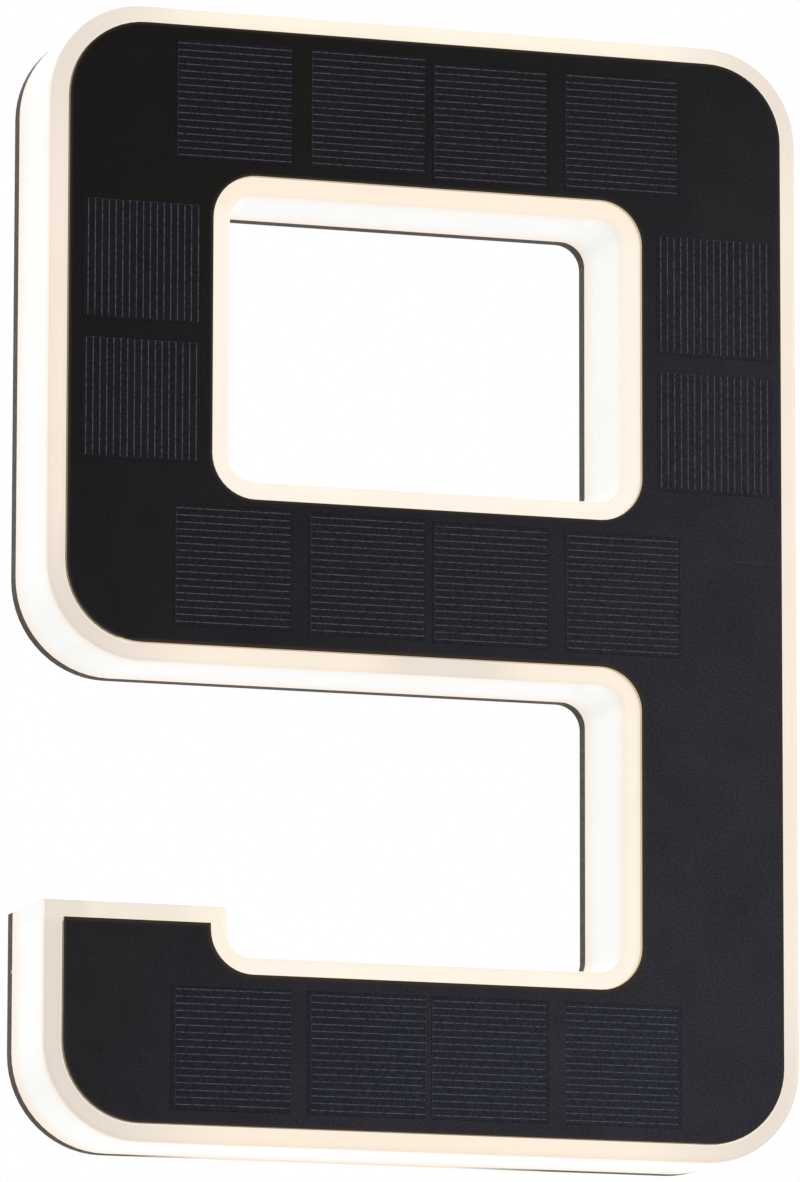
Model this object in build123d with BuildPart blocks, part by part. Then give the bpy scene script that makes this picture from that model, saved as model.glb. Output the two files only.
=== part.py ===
from build123d import *

import os

# A solar house number. An opal shell in the shape of the digit nine is lit from
# inside, carries sixteen solar cells on its face, and closes on a dark back
# housing that hangs on two screws. Millimetres. Seen from the front, +X is to
# the right and +Z is up. The wall is the plane y = 0 at the middle of the digit,
# and every depth is a distance from the wall, towards the viewer, along -Y.

# Digit. The vertex reach is how near a corner a named place must be to pick it.
height = 200.0
width = 138.2
stroke = 32.8
outer_radius = 17.0
opening_radius = 4.5
hook_rise = 8.7
hook_straight = 0.3
vertex_reach = 0.01

# Opal shell
shell_wall = 2.0
front_wall = 2.0
front_edge_radius = 0.8
rim = 3.2
window_rim_extra = 0.2

# Solar panel
panel_thickness = 1.6
panel_proud = 0.7
panel_clearance = 0.1
tape_thickness = 0.2
tape_width = 6.0
tape_inset = 7.0
cell_size = 21.4
cell_thickness = 0.3
cell_clearance = 0.05
cell_gap = 3.2
middle_gap = 1.3
top_row_step = 0.9
middle_row_lift = 0.3
middle_row_fall = 0.32
right_column_shift = 0.6

# Back housing
plate_thickness = 3.2
plate_edge = 0.3
groove_inset = 0.45
groove_width = 1.1
groove_depth = 1.0
gasket_clearance = 0.05
lip_clearance = 0.15
lip_thickness = 1.5
lip_height = 3.5
lip_end_gap = 8.0
rib_thickness = 1.2
rib_height = 2.5
rib_offset = 14.0
foot_rib_x = 34.0

# Screws that close the housing. Bosses and posts are eight-sided.
screw_inset = 14.0
screw_head_radius = 2.4
screw_shank_radius = 1.15
screw_length = 12.0
screw_recess = 0.1
boss_radius = 3.4
boss_sides = 8
boss_gap = 0.1
pilot_clearance = 0.05
pilot_room = 0.5
hole_clearance = 0.3

# Keyholes
keyhole_spacing = 70.0
entry_radius = 4.5
slot_radius = 2.25
keyhole_travel = 7.0
pocket_depth = 4.5
pocket_wall = 1.2
pocket_margin = 0.7

# Light boards
board_spacing = 3.0
board_thickness = 1.2
led_board_margin = 2.0
led_pitch = 17.0
led_length = 3.5
led_width = 2.8
led_height = 0.7
post_radius = 3.0
board_clearance = 0.5
board_screw_head_radius = 1.9
board_screw_head_height = 1.2
board_screw_radius = 0.9
board_screw_length = 5.0
board_screw_sides = 8

# Control board
control_board_height = 21.0
control_board_past_button = 14.0
control_board_past_cell = 9.3
control_post_radius = 2.6
control_post_z = 7.0
control_post_past_button = 9.0
control_post_before_cell = 14.7

# Battery compartment
battery_radius = 7.1
battery_length = 50.5
battery_nub_radius = 2.7
battery_nub_height = 1.2
battery_side_room = 0.4
battery_cover_room = 0.55
battery_floor_room = 0.55
contact_room = 7.0
compartment_wall = 1.5
compartment_front_room = 1.9
compartment_top_inset = 3.0
cover_thickness = 1.6
cover_gasket_thickness = 0.4
cover_ledge = 2.5
cover_corner = 2.5
cover_clearance = 0.2
ear_radius = 4.0
ear_reach = 3.6
ear_boss_radius = 3.2
ear_boss_height = 6.2
cover_tongue_length = 3.0
cover_tongue_width = 10.0
cover_tongue_thickness = 0.9
contact_thickness = 0.3
contact_strip_width = 2.5
contact_plate = 9.0
tail_reach = 2.0
tail_slot_clearance = 0.1
leaf_reach = 3.5
leaf_lift = 0.6
leaf_bend = 0.8
leaf_width = 6.0
cover_gasket_margin = 0.4
cover_screw_length = 7.5

# Button and switch
button_x = -22.0
button_radius = 2.9
button_recess = 0.5
button_flange_radius = 4.0
button_flange = 0.8
button_travel = 1.0
button_clearance = 0.1
button_edge = 0.3
seal_thickness = 0.6
seal_width = 9.6
switch_size = 6.0
switch_height = 2.25
plunger_radius = 1.7
plunger_reach = 0.6
plunger_clearance = 0.1
switch_gap = 0.3
part_gap = 0.05

# Leads and parts on the boards
lead_x = 17.0
lead_pitch = 2.54
panel_lead_radius = 0.6
link_lead_radius = 0.5
link_lead_pitch = 1.6
link_lead_overlap = 2.7
grommet_radius = 2.95
grommet_flange = 0.8
lead_hole_width = 8.0
header_x = -17.0
header_width = 2.5
header_length = 5.0
ic_x = -5.0
ic_length = 6.0
ic_width = 5.0
ic_height = 1.6
ic_pin_pitch = 1.27
ic_pin_width = 0.4
ic_pin_reach = 1.2
ic_pin_thickness = 0.3
coil_x = 6.0
coil_width = 6.0
coil_corner = 1.4
coil_height = 2.4
coil_foot = 0.4
capacitor_x = 25.0
capacitor_length = 7.0
capacitor_width = 4.3
capacitor_height = 2.8
capacitor_edge = 0.5

# Depths from the wall, each stacked on the last
cover_seat = cover_thickness + cover_gasket_thickness
battery_depth = cover_seat + battery_cover_room + battery_radius
cavity_floor = battery_depth + battery_radius + battery_floor_room
shell_inside = cavity_floor + compartment_wall + compartment_front_room
seat_depth = shell_inside + front_wall
panel_back = seat_depth + tape_thickness
panel_front = panel_back + panel_thickness
shell_front = panel_front - panel_proud
seal_top = plate_thickness + seal_thickness
flange_start = seal_top + part_gap
flange_end = flange_start + button_flange
switch_top = flange_end + button_travel + switch_gap
control_board_depth = switch_top + switch_height
control_front = control_board_depth + board_thickness
led_board_depth = control_front + board_spacing
led_board_front = led_board_depth + board_thickness

# Places across the face that follow from the sizes above
bar_z = (height - stroke) / 2
side_x = (width - stroke) / 2
opening_height = (height - 3 * stroke) / 2
window_z = (stroke + opening_height) / 2
window_width = width - 2 * stroke
hook_height = stroke + hook_rise
lip_inset = shell_wall + lip_clearance
boss_end = plate_thickness + boss_gap
pilot_radius = screw_shank_radius + pilot_clearance
board_inset = shell_wall + led_board_margin
control_board_left = button_x - control_board_past_button
control_board_right = side_x + control_board_past_cell
control_x = (control_board_left + control_board_right) / 2
control_width = control_board_right - control_board_left
entry_z = bar_z - keyhole_travel / 2
cavity_width = 2 * (battery_radius + battery_side_room)
cavity_length = battery_length + contact_room
compartment_width = cavity_width + 2 * compartment_wall
compartment_length = cavity_length + 2 * compartment_wall
compartment_top = -stroke / 2 + compartment_top_inset
compartment_z = compartment_top - compartment_length / 2
cavity_top = compartment_z + cavity_length / 2
cavity_bottom = compartment_z - cavity_length / 2
cover_width = cavity_width + 2 * cover_ledge
cover_length = cavity_length + 2 * cover_ledge
ear_drop = cover_length / 2 + ear_reach
ear_z = compartment_z - ear_drop
battery_bottom = cavity_top - contact_thickness - part_gap - battery_length
strip_x = side_x - (cavity_width - contact_strip_width) / 2 + part_gap
strip_depth = cavity_floor - contact_thickness - part_gap
tail_end = tail_reach - control_board_height / 2
ring_bottom = board_inset - stroke / 2
foot_top = stroke - board_inset - height / 2
compartment_left = side_x - compartment_width / 2
compartment_bottom = compartment_z - compartment_length / 2
link_lead_x = (window_width / 2 + shell_wall + compartment_left) / 2
board_width = width - 2 * board_inset
board_hole_radius = board_screw_radius + hole_clearance
boss_reach = 2 ** 0.5 * (boss_radius + board_clearance)
corner_cut = 2 * (screw_inset - board_inset) + boss_reach
side_cut = stroke - 2 * board_inset + boss_reach
foot_bottom = board_inset - height / 2
foot_right = width / 2 - screw_inset - boss_radius - board_clearance
hook_board_right = stroke - board_inset - width / 2
hook_board_top = hook_height - board_inset - height / 2

screw_places = (
    [(x, z) for x in (screw_inset - width / 2, width / 2 - screw_inset)
     for z in (screw_inset - height / 2, height / 2 - screw_inset)]
    + [(-side_x, 0), (side_x, 0)]
)
ring_posts = [(-lead_x, bar_z), (lead_x, bar_z), (-side_x, window_z), (side_x, window_z)]
foot_posts = [(-lead_x, -bar_z), (lead_x, -bar_z)]
control_posts = [
    (button_x - control_post_past_button, -control_post_z),
    (side_x - control_post_before_cell, control_post_z),
]
screwed_boards = [(ring_posts + foot_posts, led_board_front), (control_posts, control_front)]
lead_offsets = [-lead_pitch / 2, lead_pitch / 2]

pieces = {}


def at(depth):
    """The plane at a depth from the wall, with its normal towards the viewer."""
    return Plane.XZ.offset(depth)


def back_plane(x, z):
    """The plane on the back face at a place, with its normal towards the wall."""
    return Plane(origin=(x, 0, z), x_dir=(-1, 0, 0), z_dir=(0, 1, 0))


def keep(piece, name):
    """Label a finished piece and hold it for export."""
    piece.part.label = name
    pieces[name] = piece.part


def digit(inset, window_extra=0.0):
    """The digit's face with every edge moved in by inset, the window's by a little more."""
    window_inset = inset + window_extra
    left, right = inset - width / 2, width / 2 - inset
    bottom, top = inset - height / 2, height / 2 - inset
    bar_bottom, foot_top = inset - stroke / 2, stroke - height / 2 - inset
    column = width / 2 - stroke + inset
    hook_top = hook_height - height / 2 - inset
    outer_corners = [(left, top), (right, top), (right, bottom), (left, bottom), (left, bar_bottom)]
    hook_corner = (-column, foot_top)
    opening_corners = [(column, foot_top), (column, bar_bottom)]
    hook_radius = min(opening_radius + inset, hook_height - stroke - hook_straight)
    with BuildSketch() as face:
        with BuildLine():
            Polyline(
                *outer_corners[:4],
                (left, hook_top),
                (-column, hook_top),
                hook_corner,
                *opening_corners,
                outer_corners[4],
                close=True,
            )
        make_face()
        fillet(corners_at(face, outer_corners), outer_radius - inset)
        fillet(corners_at(face, opening_corners), opening_radius + inset)
        fillet(corners_at(face, [hook_corner]), hook_radius)
        with Locations((0, window_z)):
            RectangleRounded(
                window_width + 2 * window_inset,
                opening_height + 2 * window_inset,
                opening_radius + window_inset,
                mode=Mode.SUBTRACT,
            )
    return face.sketch


def corners_at(face, places):
    """The vertices of a sketch that lie at the given places."""
    return face.vertices().filter_by(
        lambda v: any(abs(v.X - x) + abs(v.Y - y) < vertex_reach for x, y in places)
    )


def band(depth, inset, thickness):
    """A band of the digit's face that follows the outline and the window's edge."""
    with BuildSketch(at(depth)) as face:
        add(digit(inset))
        add(digit(inset + thickness), mode=Mode.SUBTRACT)
    return face.sketch


def straight_runs(end_gap):
    """Where the walls run straight, as strips across the digit."""
    with BuildSketch() as face:
        Rectangle(window_width - 2 * end_gap, height)
        with Locations((0, window_z), (width / 2, -window_z)):
            Rectangle(width, opening_height - 2 * end_gap)
    return face.sketch


def keyhole():
    """A keyhole about the middle of its entry, with its slot above."""
    with BuildSketch() as face:
        Circle(entry_radius)
        with Locations((0, keyhole_travel / 2)):
            Rectangle(2 * slot_radius, keyhole_travel)
        with Locations((0, keyhole_travel)):
            Circle(slot_radius)
    return face.sketch


def pocket(grow):
    """The room behind a keyhole, about the middle of its entry."""
    room = entry_radius + pocket_margin + grow
    with BuildSketch() as face:
        with Locations((0, keyhole_travel / 2)):
            Rectangle(2 * room, 2 * room + keyhole_travel)
    return face.sketch


def cover_face(clearance):
    """The battery cover's outline, with the ear for its screw, about its middle."""
    with BuildSketch() as face:
        RectangleRounded(cover_width - 2 * clearance, cover_length - 2 * clearance, cover_corner)
        with Locations((0, -ear_drop / 2)):
            Rectangle(2 * (ear_radius - clearance), ear_drop)
        with Locations((0, -ear_drop)):
            Circle(ear_radius - clearance)
    return face.sketch


def countersunk_screw(place, length):
    """Add a flat-headed screw that goes in from the back at a place."""
    x, z = place
    with BuildSketch(Plane.XY.offset(z)) as profile:
        with BuildLine():
            Polyline(
                (x, -screw_recess),
                (x + screw_head_radius, -screw_recess),
                (x + screw_shank_radius, screw_shank_radius - screw_head_radius - screw_recess),
                (x + screw_shank_radius, -length),
                (x, -length),
                close=True,
            )
        make_face()
    revolve(profile.sketch, axis=Axis((x, 0, z), (0, 1, 0)))


def cell_places():
    """Middles of the cells: four along each bar and two on each side of the window."""
    inner = (cell_size + middle_gap) / 2
    outer = inner + cell_size + cell_gap
    columns = [-outer, -inner, inner, outer]
    top_row = [(x, bar_z - top_row_step * (x > 0)) for x in columns]
    middle = (len(columns) - 1) / 2
    middle_row = [
        (x, middle_row_lift + middle_row_fall * (middle - i)) for i, x in enumerate(columns)
    ]
    bottom_row = [(x, -bar_z) for x in columns]
    half = (cell_size + cell_gap) / 2
    sides = [
        (x, window_z + dz)
        for x in (-side_x, side_x + right_column_shift)
        for dz in (half, -half)
    ]
    return top_row + sides + middle_row + bottom_row


def led_places():
    """Middles of the lamps, evenly spaced along the strokes."""
    steps = [led_pitch * (i + 0.5) for i in range(-3, 3)]
    along_bars = [(x, z) for z in (bar_z, 0, -bar_z) for x in steps]
    up_sides = [(x, window_z + dz) for x in (-side_x, side_x) for dz in steps[1:-1]]
    return along_bars + up_sides


# Solar panel: a thin board with a shallow seat for each cell

with BuildPart() as solar_panel_board:
    with BuildSketch(at(panel_back)):
        add(digit(rim, window_rim_extra))
    extrude(amount=panel_thickness)
    with BuildSketch(at(panel_front - cell_thickness)):
        with Locations(*cell_places()):
            Rectangle(cell_size + 2 * cell_clearance, cell_size + 2 * cell_clearance)
    extrude(amount=cell_thickness, mode=Mode.SUBTRACT)
keep(solar_panel_board, "solar_panel_board")

for number, place in enumerate(cell_places(), start=1):
    with BuildPart() as solar_cell:
        with BuildSketch(at(panel_front - cell_thickness)):
            with Locations(place):
                Rectangle(cell_size, cell_size)
        extrude(amount=cell_thickness)
    keep(solar_cell, f"solar_cell_{number:02d}")

with BuildPart() as panel_tape:
    with BuildSketch(at(seat_depth)):
        for side in (-1, 1):
            off_middle = side * (stroke / 2 - tape_inset)
            with Locations(*[(0, z + off_middle) for z in (-bar_z, 0, bar_z)]):
                Rectangle(window_width, tape_width)
            with Locations((-side_x + off_middle, window_z), (side_x + off_middle, window_z)):
                Rectangle(tape_width, opening_height)
            with Locations((side_x + off_middle, -window_z)):
                Rectangle(tape_width, opening_height)
    extrude(amount=tape_thickness)
keep(panel_tape, "panel_tape")

# Opal shell: rounded rim, sunk seat for the panel, open back, bosses for the screws

with BuildPart() as diffuser_shell:
    with BuildSketch(at(plate_thickness)):
        add(digit(0))
    extrude(amount=shell_front - plate_thickness)
    fillet(edges().group_by(Axis.Y)[0], front_edge_radius)
    with BuildSketch(at(seat_depth)):
        add(digit(rim - panel_clearance, window_rim_extra))
    extrude(amount=shell_front - seat_depth, mode=Mode.SUBTRACT)
    with BuildSketch(at(plate_thickness)):
        add(digit(shell_wall))
    extrude(amount=shell_inside - plate_thickness, mode=Mode.SUBTRACT)
    with BuildSketch(at(boss_end)):
        with Locations(*screw_places):
            RegularPolygon(boss_radius, boss_sides)
    extrude(amount=shell_inside - boss_end)
    with BuildSketch(at(boss_end)):
        with Locations(*screw_places):
            Circle(pilot_radius)
    extrude(amount=screw_length + pilot_room - boss_end, mode=Mode.SUBTRACT)
    with BuildSketch(at(shell_inside)):
        with Locations((lead_x, 0)):
            Circle(grommet_radius + part_gap)
    extrude(amount=front_wall, mode=Mode.SUBTRACT)
keep(diffuser_shell, "diffuser_shell")

# Back housing

with BuildPart() as back_housing:
    with BuildSketch(at(0)):
        add(digit(0))
    extrude(amount=plate_thickness)
    chamfer(edges().group_by(Axis.Y)[-1], plate_edge)
    with BuildSketch(at(plate_thickness)):
        add(digit(lip_inset))
        add(digit(lip_inset + lip_thickness), mode=Mode.SUBTRACT)
        add(straight_runs(lip_end_gap), mode=Mode.INTERSECT)
    extrude(amount=lip_height)
    with BuildSketch(at(plate_thickness)):
        with Locations(*ring_posts, *foot_posts):
            RegularPolygon(post_radius, boss_sides)
    extrude(amount=led_board_depth - plate_thickness)
    with BuildSketch(at(plate_thickness)):
        with Locations(*control_posts):
            RegularPolygon(control_post_radius, boss_sides)
    extrude(amount=control_board_depth - plate_thickness)
    with BuildSketch(at(plate_thickness)):
        for x in (-side_x, side_x):
            for z in (window_z - rib_offset, window_z + rib_offset):
                with Locations((x, z)):
                    Rectangle(stroke - 2 * lip_inset, rib_thickness)
        for x in (-foot_rib_x, foot_rib_x):
            with Locations((x, -bar_z)):
                Rectangle(rib_thickness, stroke - 2 * lip_inset)
    extrude(amount=rib_height)

    # Keyholes: a closed pocket behind each, so that no water gets in
    with BuildSketch(at(plate_thickness)):
        with Locations((-keyhole_spacing / 2, entry_z), (keyhole_spacing / 2, entry_z)):
            add(pocket(pocket_wall))
    extrude(amount=pocket_depth + pocket_wall)
    with BuildSketch(at(plate_thickness)):
        with Locations((-keyhole_spacing / 2, entry_z), (keyhole_spacing / 2, entry_z)):
            add(pocket(0))
    extrude(amount=pocket_depth, mode=Mode.SUBTRACT)
    with BuildSketch(at(0)):
        with Locations((-keyhole_spacing / 2, entry_z), (keyhole_spacing / 2, entry_z)):
            add(keyhole())
    extrude(amount=plate_thickness, mode=Mode.SUBTRACT)

    # Battery compartment: a box that opens to the back, with a ledge for its cover
    with BuildSketch(at(plate_thickness)):
        with Locations((side_x, compartment_z)):
            RectangleRounded(compartment_width, compartment_length, cover_corner)
        with Locations((side_x, ear_z)):
            RegularPolygon(ear_boss_radius, boss_sides)
    extrude(amount=ear_boss_height)
    with BuildSketch(at(plate_thickness)):
        with Locations((side_x, compartment_z)):
            RectangleRounded(compartment_width, compartment_length, cover_corner)
    extrude(amount=cavity_floor + compartment_wall - plate_thickness)
    with BuildSketch(at(0)):
        with Locations((side_x, compartment_z)):
            Rectangle(cavity_width, cavity_length)
    extrude(amount=cavity_floor, mode=Mode.SUBTRACT)
    with BuildSketch(at(0)):
        with Locations((side_x, compartment_z)):
            add(cover_face(0))
    extrude(amount=cover_seat, mode=Mode.SUBTRACT)
    with BuildSketch(at(cover_seat - cover_tongue_thickness - cover_clearance)):
        with Locations((side_x, compartment_z + (cover_length + cover_tongue_length) / 2)):
            Rectangle(
                cover_tongue_width + 2 * cover_clearance, cover_tongue_length + 2 * cover_clearance
            )
    extrude(amount=cover_tongue_thickness + cover_clearance, mode=Mode.SUBTRACT)
    with BuildSketch(at(cover_seat)):
        with Locations((side_x, ear_z)):
            Circle(pilot_radius)
    extrude(amount=ear_boss_height, mode=Mode.SUBTRACT)
    with BuildSketch(at(control_front - tail_slot_clearance)):
        with Locations((side_x, cavity_top + compartment_wall / 2)):
            Rectangle(contact_strip_width + 2 * tail_slot_clearance, compartment_wall)
        with Locations(
            (side_x - cavity_width / 2 + contact_strip_width / 2, cavity_top + compartment_wall / 2)
        ):
            Rectangle(contact_strip_width + 2 * tail_slot_clearance, compartment_wall)
    extrude(amount=contact_thickness + 2 * tail_slot_clearance, mode=Mode.SUBTRACT)

    # Groove for the gaskets under the shell's edge, then the holes
    with BuildSketch(at(plate_thickness - groove_depth)):
        add(digit(groove_inset))
        add(digit(groove_inset + groove_width), mode=Mode.SUBTRACT)
    extrude(amount=groove_depth, mode=Mode.SUBTRACT)
    with Locations(*[back_plane(x, z) for x, z in screw_places]):
        CounterSinkHole(
            radius=screw_shank_radius + hole_clearance,
            counter_sink_radius=screw_head_radius + hole_clearance,
            depth=plate_thickness,
        )
    with BuildSketch(at(0)):
        with Locations((button_x, 0)):
            Circle(button_radius + button_clearance)
    extrude(amount=plate_thickness, mode=Mode.SUBTRACT)
    for places, face_depth in screwed_boards:
        with BuildSketch(at(face_depth - board_screw_length)):
            with Locations(*places):
                RegularPolygon(board_screw_radius + pilot_clearance, board_screw_sides)
        extrude(amount=board_screw_length - board_thickness, mode=Mode.SUBTRACT)
keep(back_housing, "back_housing")

# Gaskets in the groove: one round the outside, one round the window

gasket_height = groove_depth - gasket_clearance
gasket_band = band(
    plate_thickness - groove_depth,
    groove_inset + gasket_clearance,
    groove_width - 2 * gasket_clearance,
).faces().sort_by(SortBy.AREA)
for name, loop in zip(("window_gasket", "outer_gasket"), gasket_band):
    with BuildPart() as gasket:
        extrude(loop, amount=gasket_height)
    keep(gasket, name)

with BuildPart() as housing_screws:
    for place in screw_places:
        countersunk_screw(place, screw_length)
keep(housing_screws, "housing_screws")

# Light boards: one round the window, one in the foot, with a lamp on each step.
# Their corners are cut back to clear the walls' radii and the screw bosses.

with BuildPart() as led_ring_board:
    with BuildSketch(at(led_board_depth)) as ring:
        with Locations((0, window_z)):
            Rectangle(board_width, 2 * (window_z - ring_bottom))
        chamfer(ring.vertices().group_by(Axis.Y)[-1], corner_cut)
        chamfer(ring.vertices().group_by(Axis.Y)[0], side_cut)
        with Locations((0, window_z)):
            Rectangle(
                window_width + 2 * board_inset,
                opening_height + 2 * board_inset,
                mode=Mode.SUBTRACT,
            )
        with Locations(*ring_posts):
            RegularPolygon(board_hole_radius, board_screw_sides, mode=Mode.SUBTRACT)
        with Locations((lead_x, 0)):
            Rectangle(lead_hole_width, lead_hole_width, mode=Mode.SUBTRACT)
    extrude(amount=board_thickness)
keep(led_ring_board, "led_ring_board")

with BuildPart() as led_foot_board:
    with BuildSketch(at(led_board_depth)):
        with BuildLine():
            Polyline(
                (corner_cut - board_width / 2, foot_bottom),
                (foot_right, foot_bottom),
                (foot_right, foot_top),
                (hook_board_right, foot_top),
                (hook_board_right, hook_board_top),
                (-board_width / 2, hook_board_top),
                (-board_width / 2, foot_bottom + corner_cut),
                close=True,
            )
        make_face()
        with Locations(
            (compartment_left - board_clearance, compartment_bottom - board_clearance)
        ):
            Rectangle(width, height, align=(Align.MIN, Align.MIN), mode=Mode.SUBTRACT)
        with Locations(*foot_posts):
            RegularPolygon(board_hole_radius, board_screw_sides, mode=Mode.SUBTRACT)
    extrude(amount=board_thickness)
keep(led_foot_board, "led_foot_board")

with BuildPart() as led_chips:
    with BuildSketch(at(led_board_front)):
        with Locations(*led_places()):
            Rectangle(led_length, led_width)
    extrude(amount=led_height)
keep(led_chips, "led_chips")

# Control board with what it carries

with BuildPart() as control_board:
    with BuildSketch(at(control_board_depth)):
        with Locations((control_x, 0)):
            Rectangle(control_width, control_board_height)
        with Locations((side_x, 0)):
            RegularPolygon(boss_radius + board_clearance, boss_sides, mode=Mode.SUBTRACT)
        with Locations(*control_posts):
            RegularPolygon(board_hole_radius, board_screw_sides, mode=Mode.SUBTRACT)
    extrude(amount=board_thickness)
keep(control_board, "control_board")

with BuildPart() as board_screws:
    for places, face_depth in screwed_boards:
        with BuildSketch(at(face_depth)):
            with Locations(*places):
                RegularPolygon(board_screw_head_radius, board_screw_sides)
        extrude(amount=board_screw_head_height)
        with BuildSketch(at(face_depth - board_screw_length)):
            with Locations(*places):
                RegularPolygon(board_screw_radius, board_screw_sides)
        extrude(amount=board_screw_length)
keep(board_screws, "board_screws")

with BuildPart() as board_link_header:
    with BuildSketch(at(control_front)):
        with Locations((header_x, 0)):
            Rectangle(header_width, header_length)
    extrude(amount=led_board_depth - control_front)
keep(board_link_header, "board_link_header")

with BuildPart() as controller_ic:
    with BuildSketch(at(control_front)):
        with Locations((ic_x, 0)):
            Rectangle(ic_length, ic_width)
    extrude(amount=ic_height)
    with BuildSketch(at(control_front)):
        with Locations((ic_x, 0)):
            with GridLocations(ic_pin_pitch, ic_width + ic_pin_reach, 4, 2):
                Rectangle(ic_pin_width, ic_pin_reach)
    extrude(amount=ic_pin_thickness)
keep(controller_ic, "controller_ic")

with BuildPart() as charge_coil:
    with BuildSketch(at(control_front)):
        with Locations((coil_x, 0)):
            Rectangle(coil_width, coil_width)
    extrude(amount=coil_foot)
    with BuildSketch(at(control_front + coil_foot)) as core:
        with Locations((coil_x, 0)):
            Rectangle(coil_width, coil_width)
        chamfer(core.vertices(), coil_corner)
    extrude(amount=coil_height - coil_foot)
keep(charge_coil, "charge_coil")

with BuildPart() as storage_capacitor:
    with BuildSketch(at(control_board_depth - capacitor_height)):
        with Locations((capacitor_x, 0)):
            Rectangle(capacitor_length, capacitor_width)
    extrude(amount=capacitor_height)
    chamfer(edges().group_by(Axis.Y)[-1], capacitor_edge)
keep(storage_capacitor, "storage_capacitor")

# Battery, its contacts and its cover

with BuildPart() as battery_cell:
    with BuildSketch(Plane.XY.offset(battery_bottom)):
        with Locations((side_x, -battery_depth)):
            Circle(battery_radius)
    extrude(amount=battery_length - battery_nub_height)
    with BuildSketch(Plane.XY.offset(battery_bottom + battery_length - battery_nub_height)):
        with Locations((side_x, -battery_depth)):
            Circle(battery_nub_radius)
    extrude(amount=battery_nub_height)
keep(battery_cell, "battery_cell")

with BuildPart() as positive_contact:
    with BuildSketch(Plane.XY.offset(cavity_top - contact_thickness)):
        with Locations((side_x, -battery_depth)):
            Rectangle(contact_plate, contact_plate)
    extrude(amount=contact_thickness)
    with BuildSketch(at(control_front)):
        with Locations((side_x, (cavity_top - contact_thickness + tail_end) / 2)):
            Rectangle(contact_strip_width, tail_end - cavity_top + contact_thickness)
    extrude(amount=contact_thickness)
keep(positive_contact, "positive_contact")

# One strip: a leaf under the cell, a run along the compartment's corner, a tail
with BuildPart() as negative_contact:
    with BuildSketch(Plane.XY.offset(cavity_bottom)):
        with Locations((strip_x - contact_strip_width / 2, -strip_depth - contact_thickness)):
            Rectangle(
                side_x + contact_plate / 2 - strip_x,
                strip_depth + contact_thickness - battery_depth + contact_plate / 2,
                align=(Align.MIN, Align.MIN),
            )
    extrude(amount=contact_thickness)
    with BuildSketch(at(strip_depth)):
        with Locations((strip_x, compartment_z)):
            Rectangle(contact_strip_width, cavity_length)
    extrude(amount=contact_thickness)
    with BuildSketch(Plane.XY.offset(cavity_top - contact_thickness)):
        with Locations((strip_x, -(strip_depth + contact_thickness + control_front) / 2)):
            Rectangle(contact_strip_width, strip_depth + contact_thickness - control_front)
    extrude(amount=contact_thickness)
    with BuildSketch(at(control_front)):
        with Locations((strip_x, (cavity_top - contact_thickness + tail_end) / 2)):
            Rectangle(contact_strip_width, tail_end - cavity_top + contact_thickness)
    extrude(amount=contact_thickness)
    with BuildSketch(Plane.YZ.offset(side_x)):
        with BuildLine():
            FilletPolyline(
                (-battery_depth - leaf_reach, cavity_bottom + contact_thickness / 2),
                (-battery_depth, battery_bottom - part_gap),
                (-battery_depth + leaf_reach, cavity_bottom + contact_thickness + leaf_lift),
                radius=leaf_bend,
            )
            offset(amount=contact_thickness, side=Side.RIGHT)
        make_face()
    extrude(amount=leaf_width / 2, both=True)
keep(negative_contact, "negative_contact")

with BuildPart() as battery_cover:
    with BuildSketch(at(0)):
        with Locations((side_x, compartment_z)):
            add(cover_face(cover_clearance))
    extrude(amount=cover_thickness)
    with BuildSketch(at(cover_thickness)):
        with Locations((side_x, ear_z)):
            Circle(ear_radius - cover_clearance)
    extrude(amount=cover_gasket_thickness)
    with BuildSketch(at(cover_seat - cover_tongue_thickness - cover_clearance / 2)):
        with Locations((side_x, compartment_z + cover_length / 2 - cover_clearance)):
            Rectangle(
                cover_tongue_width, cover_tongue_length, align=(Align.CENTER, Align.MIN)
            )
    extrude(amount=cover_tongue_thickness)
    with Locations(back_plane(side_x, ear_z)):
        CounterSinkHole(
            radius=screw_shank_radius + hole_clearance,
            counter_sink_radius=screw_head_radius + hole_clearance,
            depth=cover_seat,
        )
keep(battery_cover, "battery_cover")

with BuildPart() as cover_gasket:
    with BuildSketch(at(cover_thickness)):
        with Locations((side_x, compartment_z)):
            RectangleRounded(
                cover_width - 2 * cover_gasket_margin,
                cover_length - 2 * cover_gasket_margin,
                cover_corner - cover_gasket_margin,
            )
            Rectangle(
                cavity_width + 2 * cover_gasket_margin,
                cavity_length + 2 * cover_gasket_margin,
                mode=Mode.SUBTRACT,
            )
    extrude(amount=cover_gasket_thickness)
keep(cover_gasket, "cover_gasket")

with BuildPart() as cover_screw:
    countersunk_screw((side_x, ear_z), cover_screw_length)
keep(cover_screw, "cover_screw")

# Button, its seal, and the switch behind it

with BuildPart() as power_button:
    with BuildSketch(at(button_recess)):
        with Locations((button_x, 0)):
            Circle(button_radius)
    extrude(amount=flange_start - button_recess)
    chamfer(edges().group_by(Axis.Y)[-1], button_edge)
    with BuildSketch(at(flange_start)):
        with Locations((button_x, 0)):
            Circle(button_flange_radius)
    extrude(amount=button_flange)
keep(power_button, "power_button")

with BuildPart() as button_seal:
    with BuildSketch(at(plate_thickness)):
        with Locations((button_x, 0)):
            Rectangle(seal_width, seal_width)
            Circle(button_radius + hole_clearance, mode=Mode.SUBTRACT)
    extrude(amount=seal_thickness)
keep(button_seal, "button_seal")

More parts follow.
